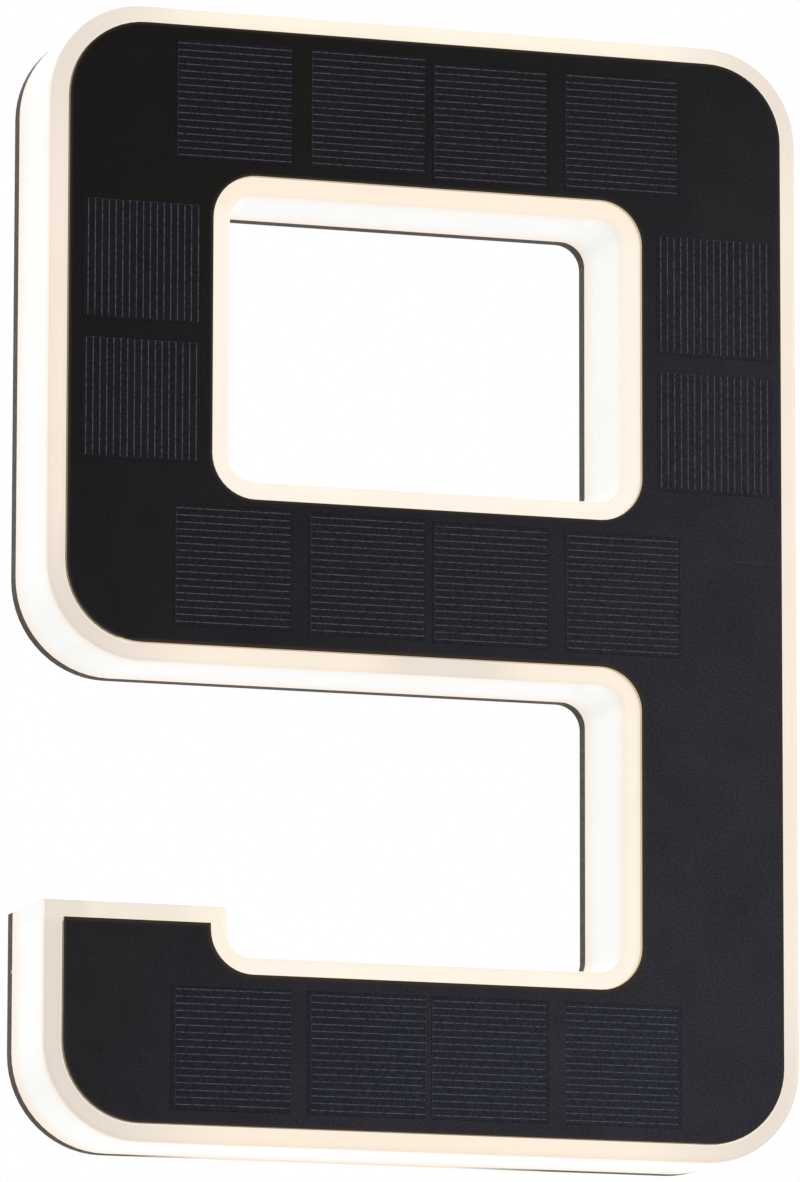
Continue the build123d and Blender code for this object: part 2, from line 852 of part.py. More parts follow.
with BuildPart() as switch_body:
    with BuildSketch(at(switch_top)):
        with Locations((button_x, 0)):
            Rectangle(switch_size, switch_size)
    extrude(amount=control_board_depth - switch_top)
    with BuildSketch(at(switch_top)):
        with Locations((button_x, 0)):
            Circle(plunger_radius + plunger_clearance)
    extrude(amount=plunger_reach + button_travel + switch_gap, mode=Mode.SUBTRACT)
keep(switch_body, "switch_body")

with BuildPart() as switch_plunger:
    with BuildSketch(at(flange_end + part_gap)):
        with Locations((button_x, 0)):
            Circle(plunger_radius)
    extrude(amount=switch_top + plunger_reach - flange_end - part_gap)
keep(switch_plunger, "switch_plunger")

# Leads: a straight pair from the panel to the control board through a grommet,
# and a straight pair from the ring board down to the foot board

panel_lead_length = panel_back - control_front
with BuildPart() as panel_leads:
    with BuildSketch(at(control_front)):
        with Locations(*[(lead_x + dx, 0) for dx in lead_offsets]):
            Circle(panel_lead_radius)
    extrude(amount=panel_lead_length)
keep(panel_leads, "panel_leads")

with BuildPart() as lead_grommet:
    with BuildSketch(at(shell_inside - grommet_flange)):
        with Locations((lead_x, 0)):
            RegularPolygon(grommet_radius + grommet_flange, boss_sides)
    extrude(amount=grommet_flange)
    with BuildSketch(at(shell_inside)):
        with Locations((lead_x, 0)):
            Circle(grommet_radius)
    extrude(amount=front_wall - part_gap)
    with BuildSketch(at(shell_inside - grommet_flange)):
        with Locations(*[(lead_x + dx, 0) for dx in lead_offsets]):
            Circle(panel_lead_radius + part_gap)
    extrude(amount=grommet_flange + front_wall, mode=Mode.SUBTRACT)
keep(lead_grommet, "lead_grommet")

link_lead_top = ring_bottom + side_cut - board_width / 2 + link_lead_x + link_lead_overlap
link_lead_length = link_lead_top - foot_top + link_lead_overlap
link_lead_y = -(led_board_front + link_lead_radius + part_gap)
with BuildPart() as link_leads:
    with BuildSketch(Plane.XY.offset(foot_top - link_lead_overlap)):
        with Locations(
            (link_lead_x - link_lead_pitch / 2, link_lead_y),
            (link_lead_x + link_lead_pitch / 2, link_lead_y),
        ):
            Circle(link_lead_radius)
    extrude(amount=link_lead_length)
keep(link_leads, "link_leads")

print(f"panel leads {panel_lead_length:.1f} mm, link leads {link_lead_length:.1f} mm, both straight")

os.makedirs("parts", exist_ok=True)
for name, piece in pieces.items():
    export_step(piece, f"parts/{name}.step")
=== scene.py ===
import math
from functools import partial

import bpy
from mathutils import Matrix, Vector


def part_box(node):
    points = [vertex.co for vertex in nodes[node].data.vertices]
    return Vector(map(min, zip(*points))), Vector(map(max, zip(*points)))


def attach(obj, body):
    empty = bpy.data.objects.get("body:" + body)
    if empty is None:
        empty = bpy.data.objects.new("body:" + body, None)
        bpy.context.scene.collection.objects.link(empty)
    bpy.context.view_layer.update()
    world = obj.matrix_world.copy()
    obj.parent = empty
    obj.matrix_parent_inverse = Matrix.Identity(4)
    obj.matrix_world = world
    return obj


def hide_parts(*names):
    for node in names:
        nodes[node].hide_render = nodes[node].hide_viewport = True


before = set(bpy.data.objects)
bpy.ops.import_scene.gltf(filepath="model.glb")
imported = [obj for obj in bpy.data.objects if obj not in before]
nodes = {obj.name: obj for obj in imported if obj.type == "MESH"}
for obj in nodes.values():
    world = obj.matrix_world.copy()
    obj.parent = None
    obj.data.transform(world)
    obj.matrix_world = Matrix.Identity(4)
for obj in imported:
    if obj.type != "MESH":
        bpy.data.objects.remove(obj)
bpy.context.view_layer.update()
print("frame loaded:", len(nodes), "nodes")

mm = 0.001
noiseLow, noiseHigh = 0.3, 0.7  # most of a noise texture lies between these


# camera, lamps, floor

studio = {
    "cameraAt": (-0.50401, -1.55697, -0.27497),
    "cameraTurn": (99.6226, -0.1059, -18.0444),  # degrees
    "lens": 284.69, "sensor": 36,
    "clip": (0.05, 50),
    "floorSize": 12,
    "floorHeight": -0.46,
    "floorGrey": 0.86, "floorRoughness": 0.9,
    "worldLevel": 0.6,  # what the object is lit by; seen directly it is white
    "lamps": {  # place, size, watts, colour
        "keyLamp": ((1.15, -1.35, -0.05), 0.9, 9.0, (0.96, 0.98, 1.0)),
        "fillLamp": ((-1.4, -1.2, 0.9), 1.6, 9.0, (1.0, 0.98, 0.95)),
        "backLamp": ((0.7, 1.5, 1.0), 1.2, 12.0, (1.0, 0.99, 0.97)),
    },
}


def addLamp(name, at, size, power, colour):
    bpy.ops.object.light_add(type="AREA", location=at)
    lamp = bpy.context.object
    lamp.name = name
    lamp.data.size = size
    lamp.data.energy = power
    lamp.data.color = colour
    lamp.rotation_euler = (-Vector(at)).to_track_quat("-Z", "Y").to_euler()


def setStudio():
    bpy.ops.object.camera_add(location=studio["cameraAt"])
    camera = bpy.context.object
    camera.rotation_euler = [math.radians(a) for a in studio["cameraTurn"]]
    camera.data.lens = studio["lens"]
    camera.data.sensor_width = studio["sensor"]
    camera.data.clip_start, camera.data.clip_end = studio["clip"]
    bpy.context.scene.camera = camera

    for name, values in studio["lamps"].items():
        addLamp(name, *values)

    world = bpy.data.worlds.new("studioWorld")
    bpy.context.scene.world = world
    world.use_nodes = True
    tree = world.node_tree
    background = tree.nodes["Background"]
    background.inputs["Color"].default_value = white
    # camera, mirror and glass rays see plain white
    path = tree.nodes.new("ShaderNodeLightPath").outputs
    seen = larger(tree, path["Is Camera Ray"], path["Is Glossy Ray"])
    seen = larger(tree, seen, path["Is Transmission Ray"])
    feed(tree, background.inputs["Strength"], ranged(tree, seen, 0.0, 1.0, studio["worldLevel"], 1.0))

    bpy.ops.mesh.primitive_plane_add(size=studio["floorSize"], location=(0, 0, studio["floorHeight"]))
    floor = bpy.context.object
    floor.name = "floor"
    paper, _, shader = startMaterial("floorPaper")
    shader.inputs["Base Color"].default_value = grey(studio["floorGrey"])
    shader.inputs["Roughness"].default_value = studio["floorRoughness"]
    floor.data.materials.append(paper)
    bpy.context.scene.view_settings.view_transform = "Standard"


# shader helpers: each adds a node and hands back its output

def paint(r, g, b):
    # linear colour of an 8-bit screen colour
    linear = [c / 255 / 12.92 if c <= 10 else ((c / 255 + 0.055) / 1.055) ** 2.4 for c in (r, g, b)]
    return (*linear, 1)


def grey(level):
    return (level, level, level, 1)


white, black = grey(1), grey(0)


def startMaterial(name):
    material = bpy.data.materials.new(name)
    material.use_nodes = True
    return material, material.node_tree, material.node_tree.nodes["Principled BSDF"]


def dress(material, *names):
    for name in names:
        mesh = nodes[name].data
        mesh.materials.clear()
        mesh.materials.append(material)


def feed(tree, socket, value):
    if isinstance(value, bpy.types.NodeSocket):
        tree.links.new(value, socket)
    else:
        socket.default_value = value


def calculate(kind, tree, a, b=0.0):
    node = tree.nodes.new("ShaderNodeMath")
    node.operation = kind
    for socket, value in zip(node.inputs, (a, b)):
        feed(tree, socket, value)
    return node.outputs[0]


times = partial(calculate, "MULTIPLY")
plus = partial(calculate, "ADD")
minus = partial(calculate, "SUBTRACT")
larger = partial(calculate, "MAXIMUM")
smaller = partial(calculate, "MINIMUM")
isBelow = partial(calculate, "LESS_THAN")
isAbove = partial(calculate, "GREATER_THAN")
unsigned = partial(calculate, "ABSOLUTE")
squareRoot = partial(calculate, "SQRT")
remainder = partial(calculate, "MODULO")


def vectorOf(tree, kind, a, b=(0, 0, 0)):
    node = tree.nodes.new("ShaderNodeVectorMath")
    node.operation = kind
    feed(tree, node.inputs[0], a)
    feed(tree, node.inputs[1], b)
    return node.outputs["Value" if kind in ("LENGTH", "DISTANCE") else "Vector"]


def ranged(tree, value, fromLow, fromHigh, low=0.0, high=1.0, kind="LINEAR"):
    node = tree.nodes.new("ShaderNodeMapRange")
    node.interpolation_type = kind
    for socket, number in zip(node.inputs, (value, fromLow, fromHigh, low, high)):
        feed(tree, socket, number)
    return node.outputs["Result"]


def mixed(tree, amount, first, second, kind="MIX"):
    # a colour with three numbers is a screen colour
    node = tree.nodes.new("ShaderNodeMix")
    node.data_type = "RGBA"
    node.blend_type = kind
    feed(tree, node.inputs[0], amount)
    for socket, value in ((node.inputs[6], first), (node.inputs[7], second)):
        isScreen = isinstance(value, (tuple, list)) and len(value) == 3
        feed(tree, socket, paint(*value) if isScreen else value)
    return node.outputs[2]


def tinted(tree, colour, tint):
    return mixed(tree, 1.0, colour, tint, "MULTIPLY")


def placeOf(tree):
    return tree.nodes.new("ShaderNodeTexCoord").outputs["Object"]


def stretched(tree, scale):
    # the place, scaled by axis: a small number draws a texture out along that axis
    mapping = tree.nodes.new("ShaderNodeMapping")
    tree.links.new(placeOf(tree), mapping.inputs["Vector"])
    mapping.inputs["Scale"].default_value = scale
    return mapping.outputs["Vector"]


def parts(tree, vector):
    node = tree.nodes.new("ShaderNodeSeparateXYZ")
    tree.links.new(vector, node.inputs[0])
    return node.outputs["X"], node.outputs["Y"], node.outputs["Z"]


def facing(tree):
    # the surface's own normal, split
    return parts(tree, tree.nodes.new("ShaderNodeNewGeometry").outputs["Normal"])


def grain(tree, spot, size, detail=2.0, rough=0.5):
    # noise with features about size across, in metres
    node = tree.nodes.new("ShaderNodeTexNoise")
    tree.links.new(spot, node.inputs["Vector"])
    node.inputs["Scale"].default_value = 1 / size
    node.inputs["Detail"].default_value = detail
    node.inputs["Roughness"].default_value = rough
    return node.outputs["Fac"]


def mottled(tree, spot, size, low, high, detail=2.0, rough=0.5):
    # noise spread from low to high
    return ranged(tree, grain(tree, spot, size, detail, rough), noiseLow, noiseHigh, low, high)


def speckle(tree, spot, size):
    # distance from the middle of the nearest cell, in cells about size across
    node = tree.nodes.new("ShaderNodeTexVoronoi")
    tree.links.new(spot, node.inputs["Vector"])
    node.inputs["Scale"].default_value = 1 / size
    return node.outputs["Distance"]


def roughen(tree, shader, spot, size, low, high, detail=2.0):
    feed(tree, shader.inputs["Roughness"], mottled(tree, spot, size, low, high, detail))


def relief(tree, shader, height, depth, strength):
    node = tree.nodes.new("ShaderNodeBump")
    node.inputs["Strength"].default_value = strength
    node.inputs["Distance"].default_value = depth
    tree.links.new(height, node.inputs["Height"])
    tree.links.new(node.outputs["Normal"], shader.inputs["Normal"])


def addSurface(tree, shader, spot, look, roughDetail, fineDetail, fineRough=0.5):
    # roughness and fine relief, from the piece's own values
    roughen(tree, shader, spot, look["roughSize"] * mm, *look["roughness"], roughDetail)
    fine = grain(tree, spot, look["grainSize"] * mm, fineDetail, fineRough)
    relief(tree, shader, fine, look["grainDepth"] * mm, look["grainStrength"])


def ramp(tree, value, low, high, stops):
    # stops: a value between low and high, and the screen colour there
    node = tree.nodes.new("ShaderNodeValToRGB")
    tree.links.new(ranged(tree, value, low, high), node.inputs["Fac"])
    elements = node.color_ramp.elements
    while len(elements) < len(stops):
        elements.new(0.5)
    for element, (at, colour) in zip(elements, sorted(stops)):
        element.position = (at - low) / (high - low)
        element.color = paint(*colour)
    return node.outputs["Color"]


setStudio()
print("studio set")


# the digit's outline, as a distance that materials can read

digit = {
    "width": 138.2 * mm,
    "height": 200 * mm,
    "stroke": 32.8 * mm,
    "hookTop": -58.5 * mm,
    "outerRadius": 17 * mm,
    "cornerRadius": 4.5 * mm,
    "rim": 3.2 * mm,  # the shell's rim round the panel
    "windowRim": 3.4 * mm,
}
halfWidth, halfHeight = digit["width"] / 2, digit["height"] / 2
stroke = digit["stroke"]
windowX = halfWidth - stroke
barEdge = stroke / 2  # the middle bar's half height
windowTop = halfHeight - stroke
farOut = 1.0


def boxDistance(tree, spot, lowX, highX, lowZ, highZ, radius):
    # distance from a rounded rectangle, as seen from outside it; inside it, -radius at the least
    middle = ((lowX + highX) / 2, 0, (lowZ + highZ) / 2)
    half = ((highX - lowX) / 2 - radius, farOut, (highZ - lowZ) / 2 - radius)
    past = vectorOf(tree, "ABSOLUTE", vectorOf(tree, "SUBTRACT", spot, middle))
    past = vectorOf(tree, "SUBTRACT", past, half)
    return minus(tree, vectorOf(tree, "LENGTH", vectorOf(tree, "MAXIMUM", past)), radius)


def onlyWhere(tree, distance, test):
    # where the test fails the distance drops far below zero, and the larger of two passes over it
    return minus(tree, distance, minus(tree, farOut, times(tree, test, farOut)))


def edgeDistances(tree):
    # how far a point of the face is from the outer outline, and from the window and the open side
    spot = placeOf(tree)
    x, _, z = parts(tree, spot)
    radius, corner = digit["outerRadius"], digit["cornerRadius"]
    body = boxDistance(tree, spot, -halfWidth, halfWidth, -halfHeight, halfHeight, radius)
    head = boxDistance(tree, spot, -halfWidth, farOut, -barEdge, farOut, radius)
    head = onlyWhere(tree, head, isBelow(tree, x, 0.0))
    head = onlyWhere(tree, head, isAbove(tree, z, (digit["hookTop"] - barEdge) / 2))
    outer = times(tree, larger(tree, body, head), -1.0)
    window = boxDistance(tree, spot, -windowX, windowX, barEdge, windowTop, corner)
    gap = boxDistance(tree, spot, -windowX, windowX, -windowTop, -barEdge, corner)
    mouth = boxDistance(tree, spot, -farOut, windowX - stroke, digit["hookTop"], -barEdge, corner)
    inner = smaller(tree, window, smaller(tree, gap, mouth))
    return outer, inner


def insetFromRim(tree, outer, inner):
    # distance from the panel's seat, positive under the panel and negative on the rim
    return smaller(tree, minus(tree, outer, digit["rim"]), minus(tree, inner, digit["windowRim"]))


def depthFromWall(tree):
    # in millimetres
    return times(tree, parts(tree, placeOf(tree))[1], -1 / mm)


# opal shell, lit from inside: that light is painted on as the shell's own glow

shellLook = {
    "depth": 24.5,  # mm, wall to front
    "sideStops": [  # depth in mm, screen colour
        (3.2, (252, 238, 224)), (4.0, (254, 243, 230)), (5.6, (255, 246, 238)), (7.4, (255, 251, 246)),
        (9.5, (254, 254, 252)), (18.4, (254, 254, 252)), (20.2, (255, 253, 249)), (21.6, (255, 249, 241)),
        (22.6, (252, 241, 229)), (23.1, (246, 233, 219)),
    ],
    # painted light: the side walls' glow set lighter or darker by which way a wall faces
    "sideLevel": 0.94,
    "insideLevel": 0.975,  # the window's and the opening's walls, by that again
    "undersideLevel": 1.0,  # the ones that face down
    "belowLevel": 1.03,  # outer walls that face down
    "insideTurn": (255, 250, 243),  # their rounded edge
    "turnDepths": (22.2, 22.8),  # mm, from where to where it rounds
    "lowGlow": (253, 239, 222),  # warmer along the seam by the foot
    "lowGlowHeights": (-50, -68), "lowGlowDepths": (9, 4), "lowGlowLevel": 0.75,
    "rimDepths": (23.2, 23.55),  # mm, where the rounded edge turns into the rim
    "windowReach": (3.6, 3.3),  # mm, how far the window's own colours go
    "outerStops": [  # height in mm, screen colour
        (-99, (255, 239, 218)), (-92, (254, 238, 218)), (-80, (249, 233, 217)), (80, (249, 234, 218)),
        (92, (253, 240, 222)), (99, (255, 244, 225)),
    ],
    "innerStops": [
        (-71, (254, 245, 231)), (-67, (253, 241, 224)), (-19, (251, 238, 221)), (-15, (250, 235, 217)),
        (-12, (252, 238, 222)), (13, (254, 243, 229)), (62, (254, 243, 228)), (66, (254, 238, 219)),
        (70, (254, 237, 217)),
    ],
    # painted highlight: a thin bright line of glow along the panel's edge
    "atPanel": (255, 247, 233), "atPanelLevel": 0.85,
    "atPanelBand": (-0.6, -0.1),  # mm from the panel's seat
    # painted shade: the outer rim's glow falls off away from the panel
    "awayFromPanel": 0.96, "awayBand": (3, 1),  # mm from the outline
    "evenHeights": (88, 97),  # mm, above this the rim doesn't fall off
    # painted shade: the rim's glow dims round these spots
    "dimSpots": [  # x, z, reach in mm, how much
        (-69.1, 100, 31, 0.77), (69.1, 100, 29, 0.72), (69.1, -100, 34, 0.82), (-69.1, -100, 36, 0.95),
        (-69.1, -16.4, 31, 0.9), (3.3, -14.8, 17, 0.66), (-69.1, -60, 12, 0.75), (-69.1, -70, 13, 0.93),
        (-69.1, -81, 14, 0.95), (-69.1, -91, 14, 0.98), (-54, -60, 16, 0.42),
    ],
    "dim": (226, 214, 203), "dimCore": 6,  # mm, fully dim inside this
    "cloudSize": 14, "cloud": (0.975, 1.0),
    "share": 0.3,  # of the colour that is reflected, the rest glows
    "glow": 0.7,
    "roughness": (0.31, 0.42), "roughSize": 0.8,
    "grainSize": 0.35, "grainDepth": 0.01, "grainStrength": 0.35,
}


def band(tree, value, ends, low=0.0, high=1.0, kind="LINEAR"):
    # a fade between two places given in mm
    return ranged(tree, value, ends[0] * mm, ends[1] * mm, low, high, kind)


def lightSides(tree, z, depth, inside):
    # the side walls' painted glow changes with depth, is warmer at the seam by the foot, and is painted
    # lighter or darker by which way a wall faces
    look = shellLook
    sides = ramp(tree, depth, 0.0, look["depth"], look["sideStops"])
    turning = times(tree, ranged(tree, depth, *look["turnDepths"]), inside)
    sides = mixed(tree, turning, sides, look["insideTurn"])
    atSeam = ranged(tree, depth, *look["lowGlowDepths"], 0.0, look["lowGlowLevel"])
    low = times(tree, band(tree, z, look["lowGlowHeights"]), atSeam)
    sides = mixed(tree, low, sides, look["lowGlow"])
    # painted light: the glow's level follows which way the wall faces
    upward = facing(tree)[2]
    insideLevel = ranged(tree, upward, -0.3, -0.8, look["insideLevel"], look["undersideLevel"])
    outsideLevel = ranged(tree, upward, 0.1, -0.7, 1.0, look["belowLevel"])
    sides = tinted(tree, sides, mixed(tree, inside, outsideLevel, insideLevel))
    return tinted(tree, sides, grey(look["sideLevel"]))


def lightRim(tree, spot, z, outer, inner, inside):
    # the rim's painted glow changes with height, has a painted highlight at the panel, and has painted
    # shade towards the outer corners
    look = shellLook
    height = times(tree, z, 1 / mm)
    outerRim = ramp(tree, height, -100, 100, look["outerStops"])
    fade = band(tree, outer, look["awayBand"], 1.0, look["awayFromPanel"])
    fade = mixed(tree, band(tree, z, look["evenHeights"]), fade, white)
    outerRim = tinted(tree, outerRim, fade)
    innerRim = ramp(tree, height, -100, 100, look["innerStops"])
    rim = mixed(tree, inside, outerRim, innerRim)
    dimmed = 0.0
    flat = vectorOf(tree, "MULTIPLY", spot, (1, 0, 1))
    for spotX, spotZ, reach, amount in look["dimSpots"]:
        away = vectorOf(tree, "DISTANCE", flat, (spotX * mm, 0, spotZ * mm))
        dimmed = larger(tree, band(tree, away, (reach, look["dimCore"]), 0.0, amount, "SMOOTHSTEP"), dimmed)
    # painted shade round the dim spots
    rim = mixed(tree, dimmed, rim, look["dim"])
    # painted highlight along the panel's edge
    nearPanel = band(tree, insetFromRim(tree, outer, inner), look["atPanelBand"], 0.0, look["atPanelLevel"])
    return mixed(tree, nearPanel, rim, look["atPanel"])


def makeOpal():
    look = shellLook
    material, tree, shader = startMaterial("opalShell")
    spot = placeOf(tree)
    z = parts(tree, spot)[2]
    depth = depthFromWall(tree)
    outer, inner = edgeDistances(tree)
    inside = band(tree, inner, look["windowReach"])
    sides = lightSides(tree, z, depth, inside)
    rim = lightRim(tree, spot, z, outer, inner, inside)
    onRim = ranged(tree, depth, *look["rimDepths"], kind="SMOOTHSTEP")
    colour = mixed(tree, onRim, sides, rim)
    cloud = mottled(tree, spot, look["cloudSize"] * mm, *look["cloud"], 3)
    colour = tinted(tree, colour, cloud)

    feed(tree, shader.inputs["Base Color"], tinted(tree, colour, grey(look["share"])))
    feed(tree, shader.inputs["Emission Color"], colour)
    shader.inputs["Emission Strength"].default_value = look["glow"]
    addSurface(tree, shader, spot, look, 3, 2)
    return material


dress(makeOpal(), "diffuser_shell")
print("opal shell lit")


# solar panel

panelLook = {
    # painted sheen: the face paler towards the bottom right
    "topLeft": (14, 13, 11), "bottomRight": (38, 37, 43),
    "slant": 0.65, "slantRange": (-120, 110),  # mm, across the slanted fade between the two
    "topHeights": (90, 45), "topShare": 0.68,  # the fade is weaker at the top
    "edge": (224, 210, 184),  # the laminate's cut edge round the window, with painted light from the shell's glow
    "outerEdge": (146, 133, 113),  # and round the outside, with less painted glow
    "edgeReach": (4, 3.8),
    "trim": (54, 43, 33), "trimBand": (0.9, 0.05),  # warm light caught along the front's edge
    "seat": (38, 37, 41), "seatBand": (0.6, 0.4),  # the pockets under the cells
    "tint": (0.96, 0.94, 0.88, 1), "tintHeights": (30, 85),  # less blue towards the top
    "fleckSize": 0.34, "fleck": (0.2, 2.0),
    "patchSize": 9, "patch": (0.88, 1.12),
    "roughness": (0.42, 0.6), "roughSize": 0.5,
    "specular": 0.07,
    "grainSize": 0.3, "grainDepth": 0.02, "grainStrength": 0.6,
}

scratchLook = {  # one faint scratch on the right
    "from": 55.4, "to": 64.8, "height": 6.9,  # mm
    "wander": 0.12, "wanderSize": 2,
    "edges": (0.14, 0.03),  # mm from its middle line
    "startFade": 0.8, "endFade": 2,
    "gapSize": 0.7, "gaps": (0.42, 0.6),
    "colour": (58, 57, 62),
}


def scratched(tree, spot, x, z, face):
    look = scratchLook
    wander = look["wander"] * mm
    wander = mottled(tree, stretched(tree, (1, 0, 0)), look["wanderSize"] * mm, -wander, wander)
    off = unsigned(tree, minus(tree, plus(tree, z, wander), look["height"] * mm))
    scratch = band(tree, off, look["edges"])
    scratch = times(tree, scratch, band(tree, x, (look["from"], look["from"] + look["startFade"])))
    scratch = times(tree, scratch, band(tree, x, (look["to"], look["to"] - look["endFade"])))
    gaps = ranged(tree, grain(tree, spot, look["gapSize"] * mm), *look["gaps"])
    return mixed(tree, times(tree, scratch, gaps), face, look["colour"])


def paintedSheen(tree, x, z, look, kind="LINEAR"):
    # painted sheen: dark at the top left and paler at the bottom right, where lamp light reflects; tinted
    # by height
    across = minus(tree, x, times(tree, z, look["slant"]))
    drift = band(tree, across, look["slantRange"], kind=kind)
    drift = times(tree, drift, band(tree, z, look["topHeights"], look["topShare"]))
    colour = mixed(tree, drift, look["topLeft"], look["bottomRight"])
    return tinted(tree, colour, mixed(tree, band(tree, z, look["tintHeights"]), white, look["tint"]))


def makePanel():
    look = panelLook
    material, tree, shader = startMaterial("panelLaminate")
    spot = placeOf(tree)
    x, _, z = parts(tree, spot)
    outer, inner = edgeDistances(tree)
    face = paintedSheen(tree, x, z, look, "SMOOTHSTEP")
    fleck = grain(tree, spot, look["fleckSize"] * mm, 3, 0.75)
    face = tinted(tree, face, ranged(tree, fleck, 0.25, 0.75, *look["fleck"]))
    face = tinted(tree, face, mottled(tree, spot, look["patchSize"] * mm, *look["patch"], 4))
    face = scratched(tree, spot, x, z, face)

    # the cut edge: laminate with painted light from the shell's glow on it, and a warm fade round the front
    edge = insetFromRim(tree, outer, inner)
    spill = band(tree, edge, look["trimBand"], kind="SMOOTHSTEP")
    face = mixed(tree, times(tree, spill, spill), face, look["trim"])
    byWindow = band(tree, inner, look["edgeReach"])
    glowLitEdge = mixed(tree, byWindow, look["outerEdge"], look["edge"])
    plies = grain(tree, stretched(tree, (0.05, 1, 0.05)), 0.22 * mm, 1)
    glowLitEdge = tinted(tree, glowLitEdge, ranged(tree, plies, 0.35, 0.65, 0.8, 1.05))
    side = mixed(tree, band(tree, edge, look["seatBand"]), look["seat"], glowLitEdge)
    onSide = ranged(tree, facing(tree)[1], -0.8, -0.5)

    feed(tree, shader.inputs["Base Color"], mixed(tree, onSide, face, side))
    shader.inputs["Specular IOR Level"].default_value = look["specular"]
    addSurface(tree, shader, spot, look, 3, 3, 0.6)
    return material


dress(makePanel(), "solar_panel_board")


cellLook = {
    # painted sheen: the film paler towards the bottom right
    "topLeft": (18, 15, 19), "bottomRight": (32, 31, 37),
    "slant": 0.5, "slantRange": (-80, 80),
    "topHeights": (85, 50), "topShare": 0.4,
    "tint": (0.93, 1.02, 1.22, 1), "tintHeights": (60, -80),  # bluer towards the foot
    "crystalSize": 0.55, "crystal": (0.5, 1.55),
    "haze": (30, 22, 40), "hazeSize": 12, "hazeLevel": 0.22,
    "roughness": (0.3, 0.46), "roughSize": 0.4,
    "specular": 0.07,
    "grainSize": 0.45, "grainDepth": 0.012, "grainStrength": 0.5,
}


def makeSilicon():
    look = cellLook
    material, tree, shader = startMaterial("siliconFilm")
    spot = placeOf(tree)
    x, _, z = parts(tree, spot)
    film = paintedSheen(tree, x, z, look)
    crystal = speckle(tree, spot, look["crystalSize"] * mm)
    film = tinted(tree, film, ranged(tree, crystal, 0.1, 0.8, *look["crystal"]))
    haze = ranged(tree, grain(tree, spot, look["hazeSize"] * mm, 2), 0.35, 0.7, 0.0, look["hazeLevel"])
    film = mixed(tree, haze, film, look["haze"])
    feed(tree, shader.inputs["Base Color"], film)
    shader.inputs["Specular IOR Level"].default_value = look["specular"]
    addSurface(tree, shader, spot, look, 2, 2)
    return material


cellNames = [f"solar_cell_{i:02d}" for i in range(1, 17)]
dress(makeSilicon(), *cellNames)
print("panel and cells covered")


# printed lines on the cells, one grid a cell

printLook = {
    "lines": 17, "pitch": 1.25, "length": 20.8, "width": 0.17, "height": 0.03,
    "endWidth": 0.035, "endHeight": 0.015,
    "softened": 0.6,  # of the height, by the bevel
    "uprightCells": (5, 6, 7, 8),  # the ones beside the window
    "shifts": [  # x and z in mm, by cell; the print is never quite centred
        (0.07, -0.07), (0.09, 0.05), (0.09, -0.03), (0.0, 0.09),
        (0.25, 0.18), (0.02, 0.15), (-0.02, 0.24), (0.03, 0.27),
        (0.18, 0.0), (0.15, 0.01), (0.21, -0.04), (0.11, 0.0),
        (0.55, 0.2), (0.5, 0.04), (-0.15, -0.04), (-0.3, 0.0),
    ],
    "paste": (71, 69, 75), "worn": (26, 24, 31),
    "gapSize": 0.7, "gaps": (0.4, 0.56),  # where the paste is worn through
    "tint": (0.86, 1.0, 1.28, 1), "tintHeights": (0, -80),  # bluer towards the foot, like the film
    "roughness": 0.55, "specular": 0.3,
}


def deselect():
    bpy.ops.object.select_all(action="DESELECT")


def pick(piece):
    deselect()
    piece.select_set(True)
    bpy.context.view_layer.objects.active = piece


def applyModifiers(piece):
    pick(piece)
    for modifier in list(piece.modifiers):
        bpy.ops.object.modifier_apply(modifier=modifier.name)


def settle(piece):
    # the object at the origin, with its place in its mesh
    pick(piece)
    bpy.ops.object.transform_apply(location=True, rotation=True, scale=True)


def openMesh():
    bpy.ops.object.mode_set(mode="EDIT")
    bpy.ops.mesh.select_all(action="SELECT")


def closeMesh():
    bpy.ops.mesh.select_all(action="SELECT")
    bpy.ops.mesh.normals_make_consistent(inside=False)
    bpy.ops.object.mode_set(mode="OBJECT")


def copyOf(piece, name, matrix):
    twin = piece.copy()
    twin.data = piece.data.copy()
    twin.name = twin.data.name = name
    twin.data.transform(matrix)
    bpy.context.scene.collection.objects.link(twin)
    return twin


def discard(piece):
    bpy.data.objects.remove(piece, do_unlink=True)


def makePaste():
    look = printLook
    material, tree, shader = startMaterial("printedPaste")
    spot = placeOf(tree)
    whole = ranged(tree, grain(tree, spot, look["gapSize"] * mm, 3, 0.6), *look["gaps"])
    colour = mixed(tree, whole, look["worn"], look["paste"])
    tint = mixed(tree, band(tree, parts(tree, spot)[2], look["tintHeights"]), white, look["tint"])
    feed(tree, shader.inputs["Base Color"], tinted(tree, colour, tint))
    shader.inputs["Roughness"].default_value = look["roughness"]
    shader.inputs["Specular IOR Level"].default_value = look["specular"]
    relief(tree, shader, grain(tree, spot, 0.12 * mm, 2), 0.01 * mm, 0.5)
    return material


def makeBar(name, length, width, height):
    # a printed bar along x, standing on y = 0 towards the viewer, with softened edges
    deselect()
    bpy.ops.mesh.primitive_cube_add(size=1)
    bar = bpy.context.object
    bar.name = name
    bar.scale = (length * mm, 2 * height * mm, width * mm)
    settle(bar)
    openMesh()
    bpy.ops.mesh.bevel(offset=height * mm * printLook["softened"], segments=1)
    bpy.ops.object.mode_set(mode="OBJECT")
    return bar


